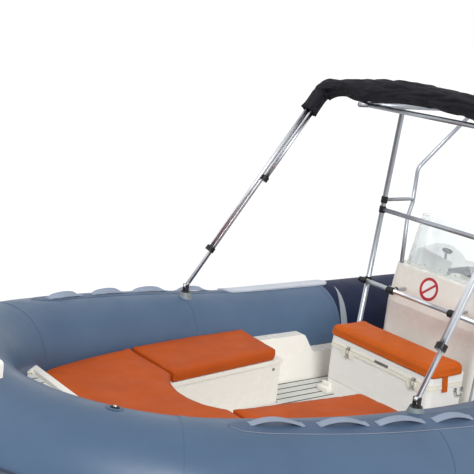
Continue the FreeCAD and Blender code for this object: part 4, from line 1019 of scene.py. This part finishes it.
def lifeline(side, way):
    """Rubber grab loops glued along the band; the starboard ones have flopped inboard."""
    bm = bmesh.new()
    for low, high in LOOPS:
        def point(u, v, out):
            s = low - LOOP_FOOT + (high - low + 2 * LOOP_FOOT) * u
            t = max(0.0, min(1.0, (s - low) / (high - low)))
            bow = math.sin(math.pi * t ** 1.12) ** 0.80 if 0 < t < 1 else 0.0
            tilt = LOOP_TILT[side] * min(1.0, 1.3 * bow)
            across = STRAP_HALF * (1 - 2 * v)
            rise = LOOP_HEIGHT * bow * math.cos(tilt) - across * math.sin(tilt) + out * math.cos(tilt)
            inboard = LOOP_HEIGHT * bow * math.sin(tilt) + across * math.cos(tilt) + out * math.sin(tilt)
            lean = strap_lean(s) - math.degrees(inboard / TUBE_R)
            return on_collar(s, lean, STRAP_REST + max(0.0, rise), way)

        shell_patch(bm, point, 64, 6, STRAP_THICK)
    strap = piece("lifeline_strap_" + side, bm, STRAP_BLUE, "boat")
    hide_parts("lifeline_" + side)


PAD_S = (-0.606, 0.236)
PAD_LEAN_IN = (-8.3, -4.7)
PAD_LEAN_OUT = (28.0, 27.0)
PAD_CORNER = 0.052
PAD_THICK = 0.0100
PAD_RIBS = 22
PAD_RIB_T = 0.0011
PAD_PLAIN = 0.008      # ends without ribs
PAD_REST = 0.0003      # over the collar


def tread_pad(side, way):
    """Ribbed rubber pad to step on, glued over the tube, its corners rounded."""
    length = PAD_S[1] - PAD_S[0]
    wide = TUBE_R * math.radians(PAD_LEAN_OUT[0] - PAD_LEAN_IN[0])

    def point(u, v, out):
        near_side = min(v, 1 - v) * wide
        into = max(0.0, PAD_CORNER - near_side)
        trim = PAD_CORNER - math.sqrt(max(0.0, PAD_CORNER ** 2 - into ** 2))
        s = PAD_S[0] + trim + (length - 2 * trim) * u
        t = (s - PAD_S[0]) / length
        low = PAD_LEAN_IN[0] + (PAD_LEAN_IN[1] - PAD_LEAN_IN[0]) * t
        high = PAD_LEAN_OUT[0] + (PAD_LEAN_OUT[1] - PAD_LEAN_OUT[0]) * t
        inside = min(u, 1 - u) * length > PAD_PLAIN and near_side > 0.006
        rib = PAD_RIB_T * ease(0.5 + 1.6 * math.sin(2 * math.pi * PAD_RIBS * v)) if out and inside else 0.0
        return on_collar(s, low + (high - low) * v, PAD_REST + out + rib, way)

    pad = shell("tread_ribs_" + side, point, 60, PAD_RIBS * 6, PAD_THICK, TREAD, "boat")
    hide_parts("tread_pad_" + side)


CRESCENT_LEAN = (-12.8, -135.0)
CRESCENT_S = -0.625
CRESCENT_BULGE = 0.083
CRESCENT_W = 0.054


def crescent(side, way):
    """Grey leaf-shaped patch aft of the seam, on the inboard face: painted light, a patch of sunlight between
    the shadows on the aft tube.
    """
    def point(u, v, out):
        lean = CRESCENT_LEAN[0] + (CRESCENT_LEAN[1] - CRESCENT_LEAN[0]) * u
        wide = math.sin(math.pi * u)
        s = CRESCENT_S + CRESCENT_BULGE * wide ** 1.3 - CRESCENT_W * wide * v
        return on_collar(s, lean, PAD_REST + out, way)

    shell("crescent_" + side, point, 60, 4, 0.0008, COLLAR_PAINTED_LIGHT, "boat")


VALVE_S, VALVE_LEAN = 2.091, -9.7
# Name, turned outline, finish, slot
VALVE_PARTS = (
    ("valve_patch_", [(0, -0.004), (0.036, -0.004), (0.038, 0.0005), (0.033, 0.0018), (0, 0.003)],
     BAND_BLUE, "collar_blue"),
    ("valve_seat_", [(0, 0), (0.0185, 0), (0.0185, 0.0055), (0.016, 0.0075), (0.012, 0.0075),
                     (0.011, 0.005), (0, 0.005)], NYLON, "black_plastic"),
    ("valve_cap_", [(0, 0.004), (0.0085, 0.004), (0.0085, 0.0085), (0.007, 0.0105), (0, 0.0108)],
     STEEL, "steel"),
)


def valve(side, way):
    """Inflation valve on its round patch."""
    middle = on_collar(VALVE_S, VALVE_LEAN, 0.0, way)
    put = facing(middle, (on_collar(VALVE_S, VALVE_LEAN, 0.1, way) - middle).normalized())
    for name, rows, finish, slot in VALVE_PARTS:
        bm = bmesh.new()
        turned(bm, rows, 28, put)
        piece(name + side, bm, finish, "boat")


# Fittings on the frame and the console

POST_Y = 0.470
POST_FOOT = Vector((-0.420, POST_Y, 0.152))
POST_TOP = Vector((-0.560, POST_Y, 1.876))
GRAB_Z = 0.800
GRAB_R = 0.014
GRAB_ARM_Y = 0.240
CLAMP_Z = (GRAB_Z, 1.245, 1.305)
CLAMP_R, CLAMP_LENGTH = 0.0205, 0.042
# Sleeves on the rail: Y, radius, length, rounding
RAIL_SLEEVES = ((POST_Y, 0.0185, 0.034, 0.003), (0.500, 0.0155, 0.012, 0.003),
                (GRAB_ARM_Y, 0.0225, 0.052, 0.005))
FLANGE_TOP = 0.1605    # of the posts' feet
FLANGE_SCREWS_R = 0.027


def sleeve(bm, at, along, radius, length, edge=0.003):
    """Rounded black sleeve round a tube."""
    rows = [(0, -length / 2), (radius - edge, -length / 2), (radius, -length / 2 + edge),
            (radius, length / 2 - edge), (radius - edge, length / 2), (0, length / 2)]
    turned(bm, rows, 24, facing(at, along))


def post_at(z, way=1):
    """Point on a front post's line at a height."""
    p = POST_FOOT.lerp(POST_TOP, (z - POST_FOOT.z) / (POST_TOP.z - POST_FOOT.z))
    return Vector((p.x, p.y * way, p.z))


def frame_fittings():
    """Sleeves on the posts and the rail, and the screws of the posts' feet."""
    rail_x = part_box("grab_rail")[1].x - GRAB_R
    lean = POST_TOP - POST_FOOT
    bm = bmesh.new()
    screws = []
    for side, way in SIDES:
        upright = Vector((lean.x, lean.y * way, lean.z)).normalized()
        for z in CLAMP_Z:
            sleeve(bm, post_at(z, way), upright, CLAMP_R, CLAMP_LENGTH)
        for y, radius, length, edge in RAIL_SLEEVES:
            sleeve(bm, Vector((rail_x, y * way, GRAB_Z)), (0, 1, 0), radius, length, edge)
        arm = Vector((rail_x - 0.030, GRAB_ARM_Y * way, GRAB_Z))
        sleeve(bm, arm, (1, 0, 0), 0.0175, 0.050, 0.004)
        for k in range(4):
            t = math.pi * (0.25 + 0.5 * k)
            y = way * (POST_Y + FLANGE_SCREWS_R * math.sin(t))
            screws.append((Vector((POST_FOOT.x + FLANGE_SCREWS_R * math.cos(t), y, FLANGE_TOP)), (0, 0, 1)))
    piece("frame_clamps", bm, NYLON, "boat")
    set_items("post_screws", screws, SCREW, STEEL, "boat", 0.9)


PANEL_LOW = Vector((-0.545, 0, 0.705))
PANEL_UP = Vector((-0.040, 0, 0.224)).normalized()
PANEL_OUT = Vector((0.9844, 0, 0.1758))
SIGN_AT = (-0.064, 0.144)      # across, and up the panel from its knee
SIGN_R = 0.070
SIGN_HOLE = 0.0525
SIGN_LOW, SIGN_TOP = 0.0009, 0.0016    # the ring's and the bar's faces over the panel
BAR_HALF = 0.0595
BAR_W = 0.00735
BAR_SLANT = 0.85       # up the panel for each metre to port


def on_panel(y, up, out=0.0):
    """Point on the console's sloped front panel."""
    return PANEL_LOW + PANEL_UP * up + PANEL_OUT * out + Vector((0, y, 0))


def sign():
    """Bare prohibition ring with its bar on a white disc."""
    y, up = SIGN_AT
    put = facing(on_panel(y, up), PANEL_OUT)
    disc = bmesh.new()
    edge = SIGN_R + 0.001
    turned(disc, [(0, 0.0002), (edge, 0.0002), (edge, 0.0010), (0, 0.0010)], 64, put)
    piece("sign_disc", disc, CARD_WHITE, "boat")
    ring = bmesh.new()
    turned(ring, [(SIGN_HOLE, SIGN_LOW), (SIGN_R, SIGN_LOW), (SIGN_R, SIGN_TOP), (SIGN_HOLE, SIGN_TOP),
                  (SIGN_HOLE, SIGN_LOW)], 64, put)
    slant = (Vector((0, 1, 0)) + PANEL_UP * BAR_SLANT).normalized()
    across = slant.cross(PANEL_OUT).normalized() * BAR_W

    def bar(u, v, out):
        return on_panel(y, up, SIGN_LOW + out) + slant * BAR_HALF * (2 * u - 1) + across * (2 * v - 1)

    shell_patch(ring, bar, 12, 2, 0.0006)
    piece("sign_ring", ring, SIGN_RED, "boat", smooth=False)


CARD = [Vector((-0.664, -0.232, 1.056)), Vector((-0.664, -0.004, 1.023)), Vector((-0.652, -0.022, 0.937)),
        Vector((-0.652, -0.246, 0.948))]


def card():
    """Blank white card standing behind the windscreen."""
    def point(u, v, out):
        bow = 0.004 * math.sin(math.pi * u)
        return CARD[0].lerp(CARD[1], u).lerp(CARD[3].lerp(CARD[2], u), v) + Vector((out + bow, 0, 0))

    shell("blank_card", point, 16, 10, 0.0006, CARD_WHITE, "boat")


# On the ice chest and the benches

CHEST_FWD = -0.150
CHEST_AFT = -0.442
CHEST_HALF = 0.400
CHEST_R = 0.034
CHEST_SEAM = 0.456
CHEST_STEP = 0.006     # along its straight sides
CHEST_ARC = 8          # steps round a corner
LATCH_Y = (-0.235, 0.285)
LATCH_HALF = 0.040
RIM_LOW, RIM_DIP = 0.438, 0.409
RIM_SLOPE = 0.014
RIM_REST = 0.0002      # over the chest's sides
RIM_TOP, RIM_THICK = CHEST_SEAM - 0.0008, 0.0042
LID_RIM_LOW, LID_RIM_TOP, LID_RIM_THICK = CHEST_SEAM + 0.0022, CHEST_SEAM + 0.0140, 0.0026
STRAP_W, STRAP_T = 0.042, 0.0022
STRAP_X = -0.259
STRAP_LEAN = 0.010     # aft at its lower end
STRAP_OFF = 0.0034
STRAP_STITCHES = 22
# Height and distance off the chest's end, down a cushion strap
STRAP_LINE = ((0.512, 0.0006), (0.490, 0.0008), (0.462, 0.0030), (0.440, 0.0036), (0.421, 0.0046))
LATCH_FACE = CHEST_FWD + 0.0046
# Piece, low and high corner from the chest's face and the latch's middle, rounding
LATCH_BLOCKS = (
    ("latch_plates", (-0.004, -0.019, 0.420), (0.002, 0.019, 0.448), 0.0010),
    ("chest_levers", (0.002, -0.009, 0.417), (0.008, 0.009, 0.436), 0.002),
    ("chest_levers", (0.004, -0.016, 0.412), (0.011, 0.016, 0.419), 0.0025),
    ("lid_hooks", (-0.004, -0.013, 0.459), (0.002, 0.013, 0.477), 0.001),
    ("lid_hooks", (0.001, -0.007, 0.467), (0.0125, 0.007, 0.473), 0.0015),
)
BAIL_R = 0.0016
BAIL = ((-1, 0.430), (-1, 0.448), (-1, 0.465), (1, 0.465), (1, 0.448), (1, 0.430))
HANDLE_X = (-0.414, -0.362)
HANDLE_R = 0.0036
# X, distance out from the chest's end, and Z along a drop handle
HANDLE = ((-0.414, 0.008, 0.419), (-0.415, 0.014, 0.406), (-0.411, 0.016, 0.394), (-0.400, 0.017, 0.388),
          (-0.388, 0.017, 0.387), (-0.376, 0.017, 0.388), (-0.365, 0.016, 0.394), (-0.361, 0.014, 0.406),
          (-0.362, 0.008, 0.419))
GRIP_Y = (-0.021, 0.084)
GRIP_RIBS = 15


def chest_side():
    """(point, outward direction) along the chest's starboard end, front and port end."""
    line = []
    ends = [((CHEST_AFT + CHEST_R, -CHEST_HALF), (CHEST_FWD - CHEST_R, -CHEST_HALF), (0, -1)),
            ((CHEST_FWD, -CHEST_HALF + CHEST_R), (CHEST_FWD, CHEST_HALF - CHEST_R), (1, 0)),
            ((CHEST_FWD - CHEST_R, CHEST_HALF), (CHEST_AFT + CHEST_R, CHEST_HALF), (0, 1))]
    centres = [(CHEST_FWD - CHEST_R, -CHEST_HALF + CHEST_R), (CHEST_FWD - CHEST_R, CHEST_HALF - CHEST_R)]
    for k, (a, b, out) in enumerate(ends):
        a, b = Vector((*a, 0)), Vector((*b, 0))
        count = max(2, round((b - a).length / CHEST_STEP))
        line += [(a.lerp(b, j / count), Vector((*out, 0))) for j in range(count + 1)]
        if k < 2:
            for j in range(1, CHEST_ARC):
                t = math.pi / 2 * (k - 1 + j / CHEST_ARC)
                out = Vector((math.cos(t), math.sin(t), 0))
                line.append((Vector((*centres[k], 0)) + out * CHEST_R, out))
    return line


def chest_band(name, body, low_at, high, thick, finish):
    """Band moulded round the chest, its lower edge at low_at(y) on the front."""
    line = chest_side()

    def point(u, v, out):
        at, away = line[round(u * (len(line) - 1))]
        low = low_at(at.y if away.x > 0.99 else None)
        return at + away * (RIM_REST + out) + Vector((0, 0, low + (high - low) * v))

    shell(name, point, len(line) - 1, 3, thick, finish, body)


def rim_low(y):
    """Lower edge of the body's rim, which dips below the latches; y is None off the front."""
    if y is None:
        return RIM_LOW
    dips = [(LATCH_HALF + RIM_SLOPE - abs(y - middle)) / RIM_SLOPE for middle in LATCH_Y]
    return RIM_LOW + (RIM_DIP - RIM_LOW) * max(0.0, min(1.0, max(dips)))


def latches():
    """Toggles of the chest: plates, levers and their bails on the body, hooks on the lid."""
    parts = {name: bmesh.new() for name in ("latch_plates", "chest_levers", "lid_hooks")}
    for y in LATCH_Y:
        at = Vector((LATCH_FACE, y, 0))
        for name, low, high, edge in LATCH_BLOCKS:
            block(parts[name], at + Vector(low), at + Vector(high), edge)
        bail = [at + Vector((0.009, way * 0.010, z)) for way, z in BAIL]
        sweep(parts["chest_levers"], bail, BAIL_R, sides=8)
    piece("latch_plates", parts["latch_plates"], CREAM, "boat")
    piece("chest_levers", parts["chest_levers"], BRIGHT_STEEL, "boat")
    piece("lid_hooks", parts["lid_hooks"], BRIGHT_STEEL, "chest_lid")


def lid_grip():
    """Ribbed finger grip in the middle of the lid's edge."""
    face = CHEST_FWD + 0.0028
    bm = bmesh.new()
    block(bm, (face - 0.003, GRIP_Y[0], 0.4585), (face + 0.0012, GRIP_Y[1], 0.4725), 0.0006)
    step = (GRIP_Y[1] - GRIP_Y[0]) / GRIP_RIBS
    for k in range(GRIP_RIBS):
        y = GRIP_Y[0] + step * (k + 0.5)
        block(bm, (face, y - step * 0.28, 0.4600), (face + 0.0038, y + step * 0.28, 0.4710), 0.0006)
    piece("lid_grip", bm, GRIP, "chest_lid")


def chest_straps():
    """Webbing that ties the seat cushion down to the lid, on both ends."""
    for side, way in SIDES:
        def point(u, v, out):
            spot = v * (len(STRAP_LINE) - 1)
            k = min(int(spot), len(STRAP_LINE) - 2)
            t = ease(spot - k)
            z, off = (a + (b - a) * t for a, b in zip(STRAP_LINE[k], STRAP_LINE[k + 1]))
            x = STRAP_X - STRAP_W / 2 + STRAP_W * u - STRAP_LEAN * v
            return Vector((x, way * (CHEST_HALF + STRAP_OFF + off + out), z))

        # The straps and their stitches are in the brighter copy of the vinyl: painted sunlight.
        shell("cushion_strap_" + side, point, 6, 24, STRAP_T, ORANGE_SUNLIT, "chest_lid")
        spots = [(point(u, (k + 0.5) / STRAP_STITCHES, STRAP_T + 0.0002), (0, 0, 1))
                 for u in (0.10, 0.90) for k in range(STRAP_STITCHES)]
        set_items("strap_stitches_" + side, spots, STITCH, ORANGE_SUNLIT, "chest_lid", 0.8)


def chest_handles():
    """Drop handles on the chest's ends, and the moulded shoes that hold its foot."""
    bars, shoes = bmesh.new(), bmesh.new()
    front = CHEST_FWD - 0.0015
    for side, way in SIDES:
        y = way * CHEST_HALF
        for x in HANDLE_X:
            near, far = sorted((y, y + way * 0.010))
            block(bars, (x - 0.009, near, 0.408), (x + 0.009, far, 0.430), 0.003)
        sweep(bars, [Vector((x, y + way * out, z)) for x, out, z in HANDLE], HANDLE_R, sides=10)
        low, high = sorted((way * (CHEST_HALF - 0.078), way * (CHEST_HALF + 0.014)))
        block(shoes, (front, low, 0.1535), (CHEST_FWD + 0.046, high, 0.186), 0.007)
        block(shoes, (front, low + 0.012, 0.180), (CHEST_FWD + 0.022, high - 0.012, 0.214), 0.007)
    piece("chest_handles", bars, STEEL, "boat")
    piece("chest_shoes", shoes, WHITE, "boat")


BENCH_LATCH = (0.331, 0.364)   # X and Z
HOOK_R = 0.0075
HOOK_OUT = 0.006


def bench_latches():
    """Small hook and eye on each bow bench's face."""
    bm = bmesh.new()
    x, z = BENCH_LATCH
    turns = [2 * math.pi * k / 14 for k in range(14)]
    for side, way in SIDES:
        put = facing(*cast("bow_bench_" + side, (x, 0, z), (0, way, 0)))
        turned(bm, [(0, -0.001), (0.0085, -0.001), (0.0085, 0.001), (0.006, 0.003), (0, 0.003)], 18, put)
        hook = [put @ Vector((HOOK_R * math.cos(t), HOOK_R * math.sin(t), HOOK_OUT)) for t in turns]
        sweep(bm, hook, 0.0018, closed=True, sides=8)
        sweep(bm, [put @ Vector((HOOK_R, 0, h)) for h in (0.001, HOOK_OUT)], 0.0024, sides=8)
    piece("bench_latches", bm, STEEL, "boat")


# At the helm

DIAL_R = 0.033
DIAL_Y = (-0.088, 0.0, 0.088)
DIAL_UP = 0.022        # over the dash
DIAL_TICKS = 11
DIAL_FROM, DIAL_STEP = 225, -27        # degrees
NEEDLE_TURN = math.radians(212)
DASH_AFT = -0.955
BEHIND_DASH = DASH_AFT - 0.4   # where lines are cast from at the pod
DASH_TOP = 0.850
SWITCH_Z = 0.800
SWITCH_Y = 0.190
SWITCH_PITCH = 0.028
THROTTLE_Y = -0.290


def dials():
    """Round gauges in the pod: bezel, dial, bare ticks and a needle."""
    rims, faces, ticks = bmesh.new(), bmesh.new(), bmesh.new()
    inner, edge, tick_end = DIAL_R - 0.005, DIAL_R - 0.0045, DIAL_R - 0.0065
    for y in DIAL_Y:
        put = facing(*cast("console", (BEHIND_DASH, y, DASH_TOP + DIAL_UP), (1, 0, 0)))
        turned(rims, [(inner, 0.0002), (DIAL_R, 0.0002), (DIAL_R, 0.0040), (DIAL_R - 0.0015, 0.0058),
                      (DIAL_R - 0.004, 0.0050), (inner, 0.0002)], 40, put)
        turned(faces, [(0, 0.0003), (edge, 0.0003), (edge, 0.0014), (0, 0.0014)], 40, put)
        turned(faces, [(0, 0.0012), (0.003, 0.0012), (0.003, 0.0030), (0, 0.0034)], 16, put)
        for k in range(DIAL_TICKS):
            spot = put @ Matrix.Rotation(math.radians(DIAL_FROM + DIAL_STEP * k), 4, "Z")
            reach = 0.006 if k % 5 == 0 else 0.0035
            block(ticks, (tick_end - reach, -0.0006, 0.0013), (tick_end, 0.0006, 0.0018), 0, spot)
        needle = put @ Matrix.Rotation(NEEDLE_TURN, 4, "Z")
        block(ticks, (-0.004, -0.0008, 0.0020), (DIAL_R - 0.011, 0.0008, 0.0026), 0, needle)
    piece("dial_rims", rims, STEEL, "boat")
    piece("dial_faces", faces, NYLON, "boat")
    piece("dial_ticks", ticks, CARD_WHITE, "boat", smooth=False)


def throttle():
    """Single-lever control on the dash and a row of switches beside it."""
    at, out = cast("console", (DASH_AFT + 0.075, THROTTLE_Y, 1.4), (0, 0, -1))
    box = bmesh.new()
    block(box, at + Vector((-0.052, -0.028, -0.014)), at + Vector((0.052, 0.028, 0.036)), 0.008)
    turned(box, [(0, 0), (0.026, 0), (0.026, 0.010), (0.020, 0.015), (0, 0.015)], 28,
           facing(at + Vector((0, 0.027, 0.020)), (0, 1, 0)))
    piece("throttle_box", box, NYLON, "boat")
    lever = bmesh.new()
    foot = at + Vector((0, 0.046, 0.020))
    head = foot + Vector((-0.012, 0.004, 0.120))
    sweep(lever, [foot, foot.lerp(head, 0.5) + Vector((0, 0.004, 0)), head], [0.009, 0.007, 0.006], sides=12)
    turned(lever, [(0, -0.034), (0.010, -0.034), (0.014, -0.026), (0.0155, 0), (0.014, 0.026),
                   (0.010, 0.034), (0, 0.034)], 20, facing(head + Vector((0, 0.006, 0.008)), (0, 1, 0)))
    piece("throttle_lever", lever, NYLON, "boat")
    switches = bmesh.new()
    for k in range(5):
        spot = (BEHIND_DASH, SWITCH_Y + SWITCH_PITCH * k, SWITCH_Z)
        put = facing(*cast("console", spot, (1, 0, 0)))
        block(switches, (-0.0095, -0.0135, -0.001), (0.0095, 0.0135, 0.0022), 0.0012, put)
        block(switches, (-0.0060, -0.0095, 0.001), (0.0060, 0.0095, 0.0062), 0.0015,
              put @ Matrix.Rotation(math.radians(9), 4, "X"))
    piece("switches", switches, NYLON, "boat")


# Screws on both sides of a moulding: node, height, X of each
SIDE_SCREWS = (("windscreen", 0.962, (-0.72, -0.80)), ("console", 0.190, (-1.02, -0.86, -0.70)),
               ("helm_bench", 0.190, (-1.78, -1.58)))


def screws():
    """Screw heads on the windscreen, console and helm bench, and bolts on the motor's clamp."""
    places = [cast("windscreen", (0.4, -0.30 + 0.12 * k, 0.962), (-1, 0, 0)) for k in range(6)]
    for side, way in SIDES:
        for node, z, spots in SIDE_SCREWS:
            places += [cast(node, (x, way * 1.2, z), (0, -way, 0)) for x in spots]
    set_items("moulding_screws", places, SCREW, STEEL, "boat", 0.8)
    bolts = [cast("motor_clamp", (-1.95, way * 0.098, z), (-1, 0, 0))
             for way in (1, -1) for z in (0.262, 0.200)]
    set_items("bracket_bolts", bolts, BOLT, STEEL, "boat")


# Stage, camera and lamps

CAMERA_AT = Vector((3.946, 3.691, 2.305))
CAMERA_YAW = math.radians(38.8)
CAMERA_PITCH = math.radians(12.5)
CAMERA_ROLL = math.radians(6.6)
CAMERA_LENS = 75.98
SENSOR = 36.0
FLOOR_HALF = 220.0
WORLD_LIGHT = 0.58
# Name, direction towards it, width in degrees, strength
LAMPS = (("key", (2.7, 5.7, 4.6), 22.0, 2.2), ("fill", (5.0, -6.0, 5.0), 60.0, 0.45))
FLOOR_GLOW = 0.16      # what the camera, glass and metal see over the floor's own white


def camera():
    """Camera of the reference photo."""
    flat = math.cos(CAMERA_PITCH)
    ahead = Vector((-math.sin(CAMERA_YAW) * flat, -math.cos(CAMERA_YAW) * flat, -math.sin(CAMERA_PITCH)))
    level = ahead.cross(Vector((0, 0, 1))).normalized()
    upright = level.cross(ahead)
    right = level * math.cos(CAMERA_ROLL) + upright * math.sin(CAMERA_ROLL)
    up = upright * math.cos(CAMERA_ROLL) - level * math.sin(CAMERA_ROLL)
    data = bpy.data.cameras.new("camera")
    data.lens = CAMERA_LENS
    data.sensor_width = SENSOR
    data.clip_start, data.clip_end = 0.05, 500.0
    cam = placed("camera", data)
    cam.matrix_world = Matrix.Translation(CAMERA_AT) @ Matrix((right, up, -ahead)).transposed().to_4x4()
    bpy.context.scene.camera = cam


def lamp(name, towards, spread, strength):
    """Soft far lamp that lights boat and floor at one level; spread is its width in degrees."""
    data = bpy.data.lights.new(name, "SUN")
    data.angle = math.radians(spread)
    data.energy = strength
    placed(name, data).matrix_world = facing((0, 0, 0), towards)


def seen_white(tree, dim, strength, out):
    """Background that camera, glass and metal see as white, and that lights the object at a dimmer level."""
    rays = tree.nodes.new("ShaderNodeLightPath").outputs
    seen = rays["Is Camera Ray"]
    for ray in ("Is Glossy Ray", "Is Transmission Ray"):
        most = tree.nodes.new("ShaderNodeMath")
        most.operation = "MAXIMUM"
        tree.links.new(seen, most.inputs[0])
        tree.links.new(rays[ray], most.inputs[1])
        seen = most.outputs[0]
    level = tree.nodes.new("ShaderNodeMapRange")
    level.inputs["To Min"].default_value = dim
    level.inputs["To Max"].default_value = strength
    tree.links.new(seen, level.inputs["Value"])
    tree.links.new(level.outputs["Result"], out)


def stage():
    """White world, pale floor at the waterline and two lamps."""
    world = bpy.data.worlds.new("studio")
    bpy.context.scene.world = world
    world.use_nodes = True
    background = world.node_tree.nodes["Background"].inputs
    background["Color"].default_value = (1, 1, 1, 1)
    seen_white(world.node_tree, WORLD_LIGHT, 1.0, background["Strength"])
    bm = bmesh.new()
    corners = ((-1, -1), (1, -1), (1, 1), (-1, 1))
    bm.faces.new([bm.verts.new((x * FLOOR_HALF, y * FLOOR_HALF, 0)) for x, y in corners])
    floor = placed("floor", mesh_of("floor", bm))
    m, shader = material("floor_pale", (0.86, 0.86, 0.86), 0.8, Specular_IOR_Level=0.0)
    shader.inputs["Emission Color"].default_value = (1, 1, 1, 1)
    seen_white(m.node_tree, 0.0, FLOOR_GLOW, shader.inputs["Emission Strength"])
    floor.data.materials.append(m)
    for values in LAMPS:
        lamp(*values)


def main():
    """Dresses the boat and sets the stage."""
    dress_nodes()
    smooth_tubes()
    deck_planks("floor_planking")
    deck_planks("foredeck_planking")
    cushions()
    canopy_cover()
    collar_trim()
    frame_fittings()
    sign()
    card()
    chest_band("chest_rim", "boat", rim_low, RIM_TOP, RIM_THICK, CREAM)
    chest_band("lid_rim", "chest_lid", lambda y: LID_RIM_LOW, LID_RIM_TOP, LID_RIM_THICK, CREAM)
    latches()
    lid_grip()
    chest_straps()
    chest_handles()
    bench_latches()
    dials()
    throttle()
    screws()
    camera()
    stage()


main()
bpy.context.scene.view_settings.view_transform = "Standard"
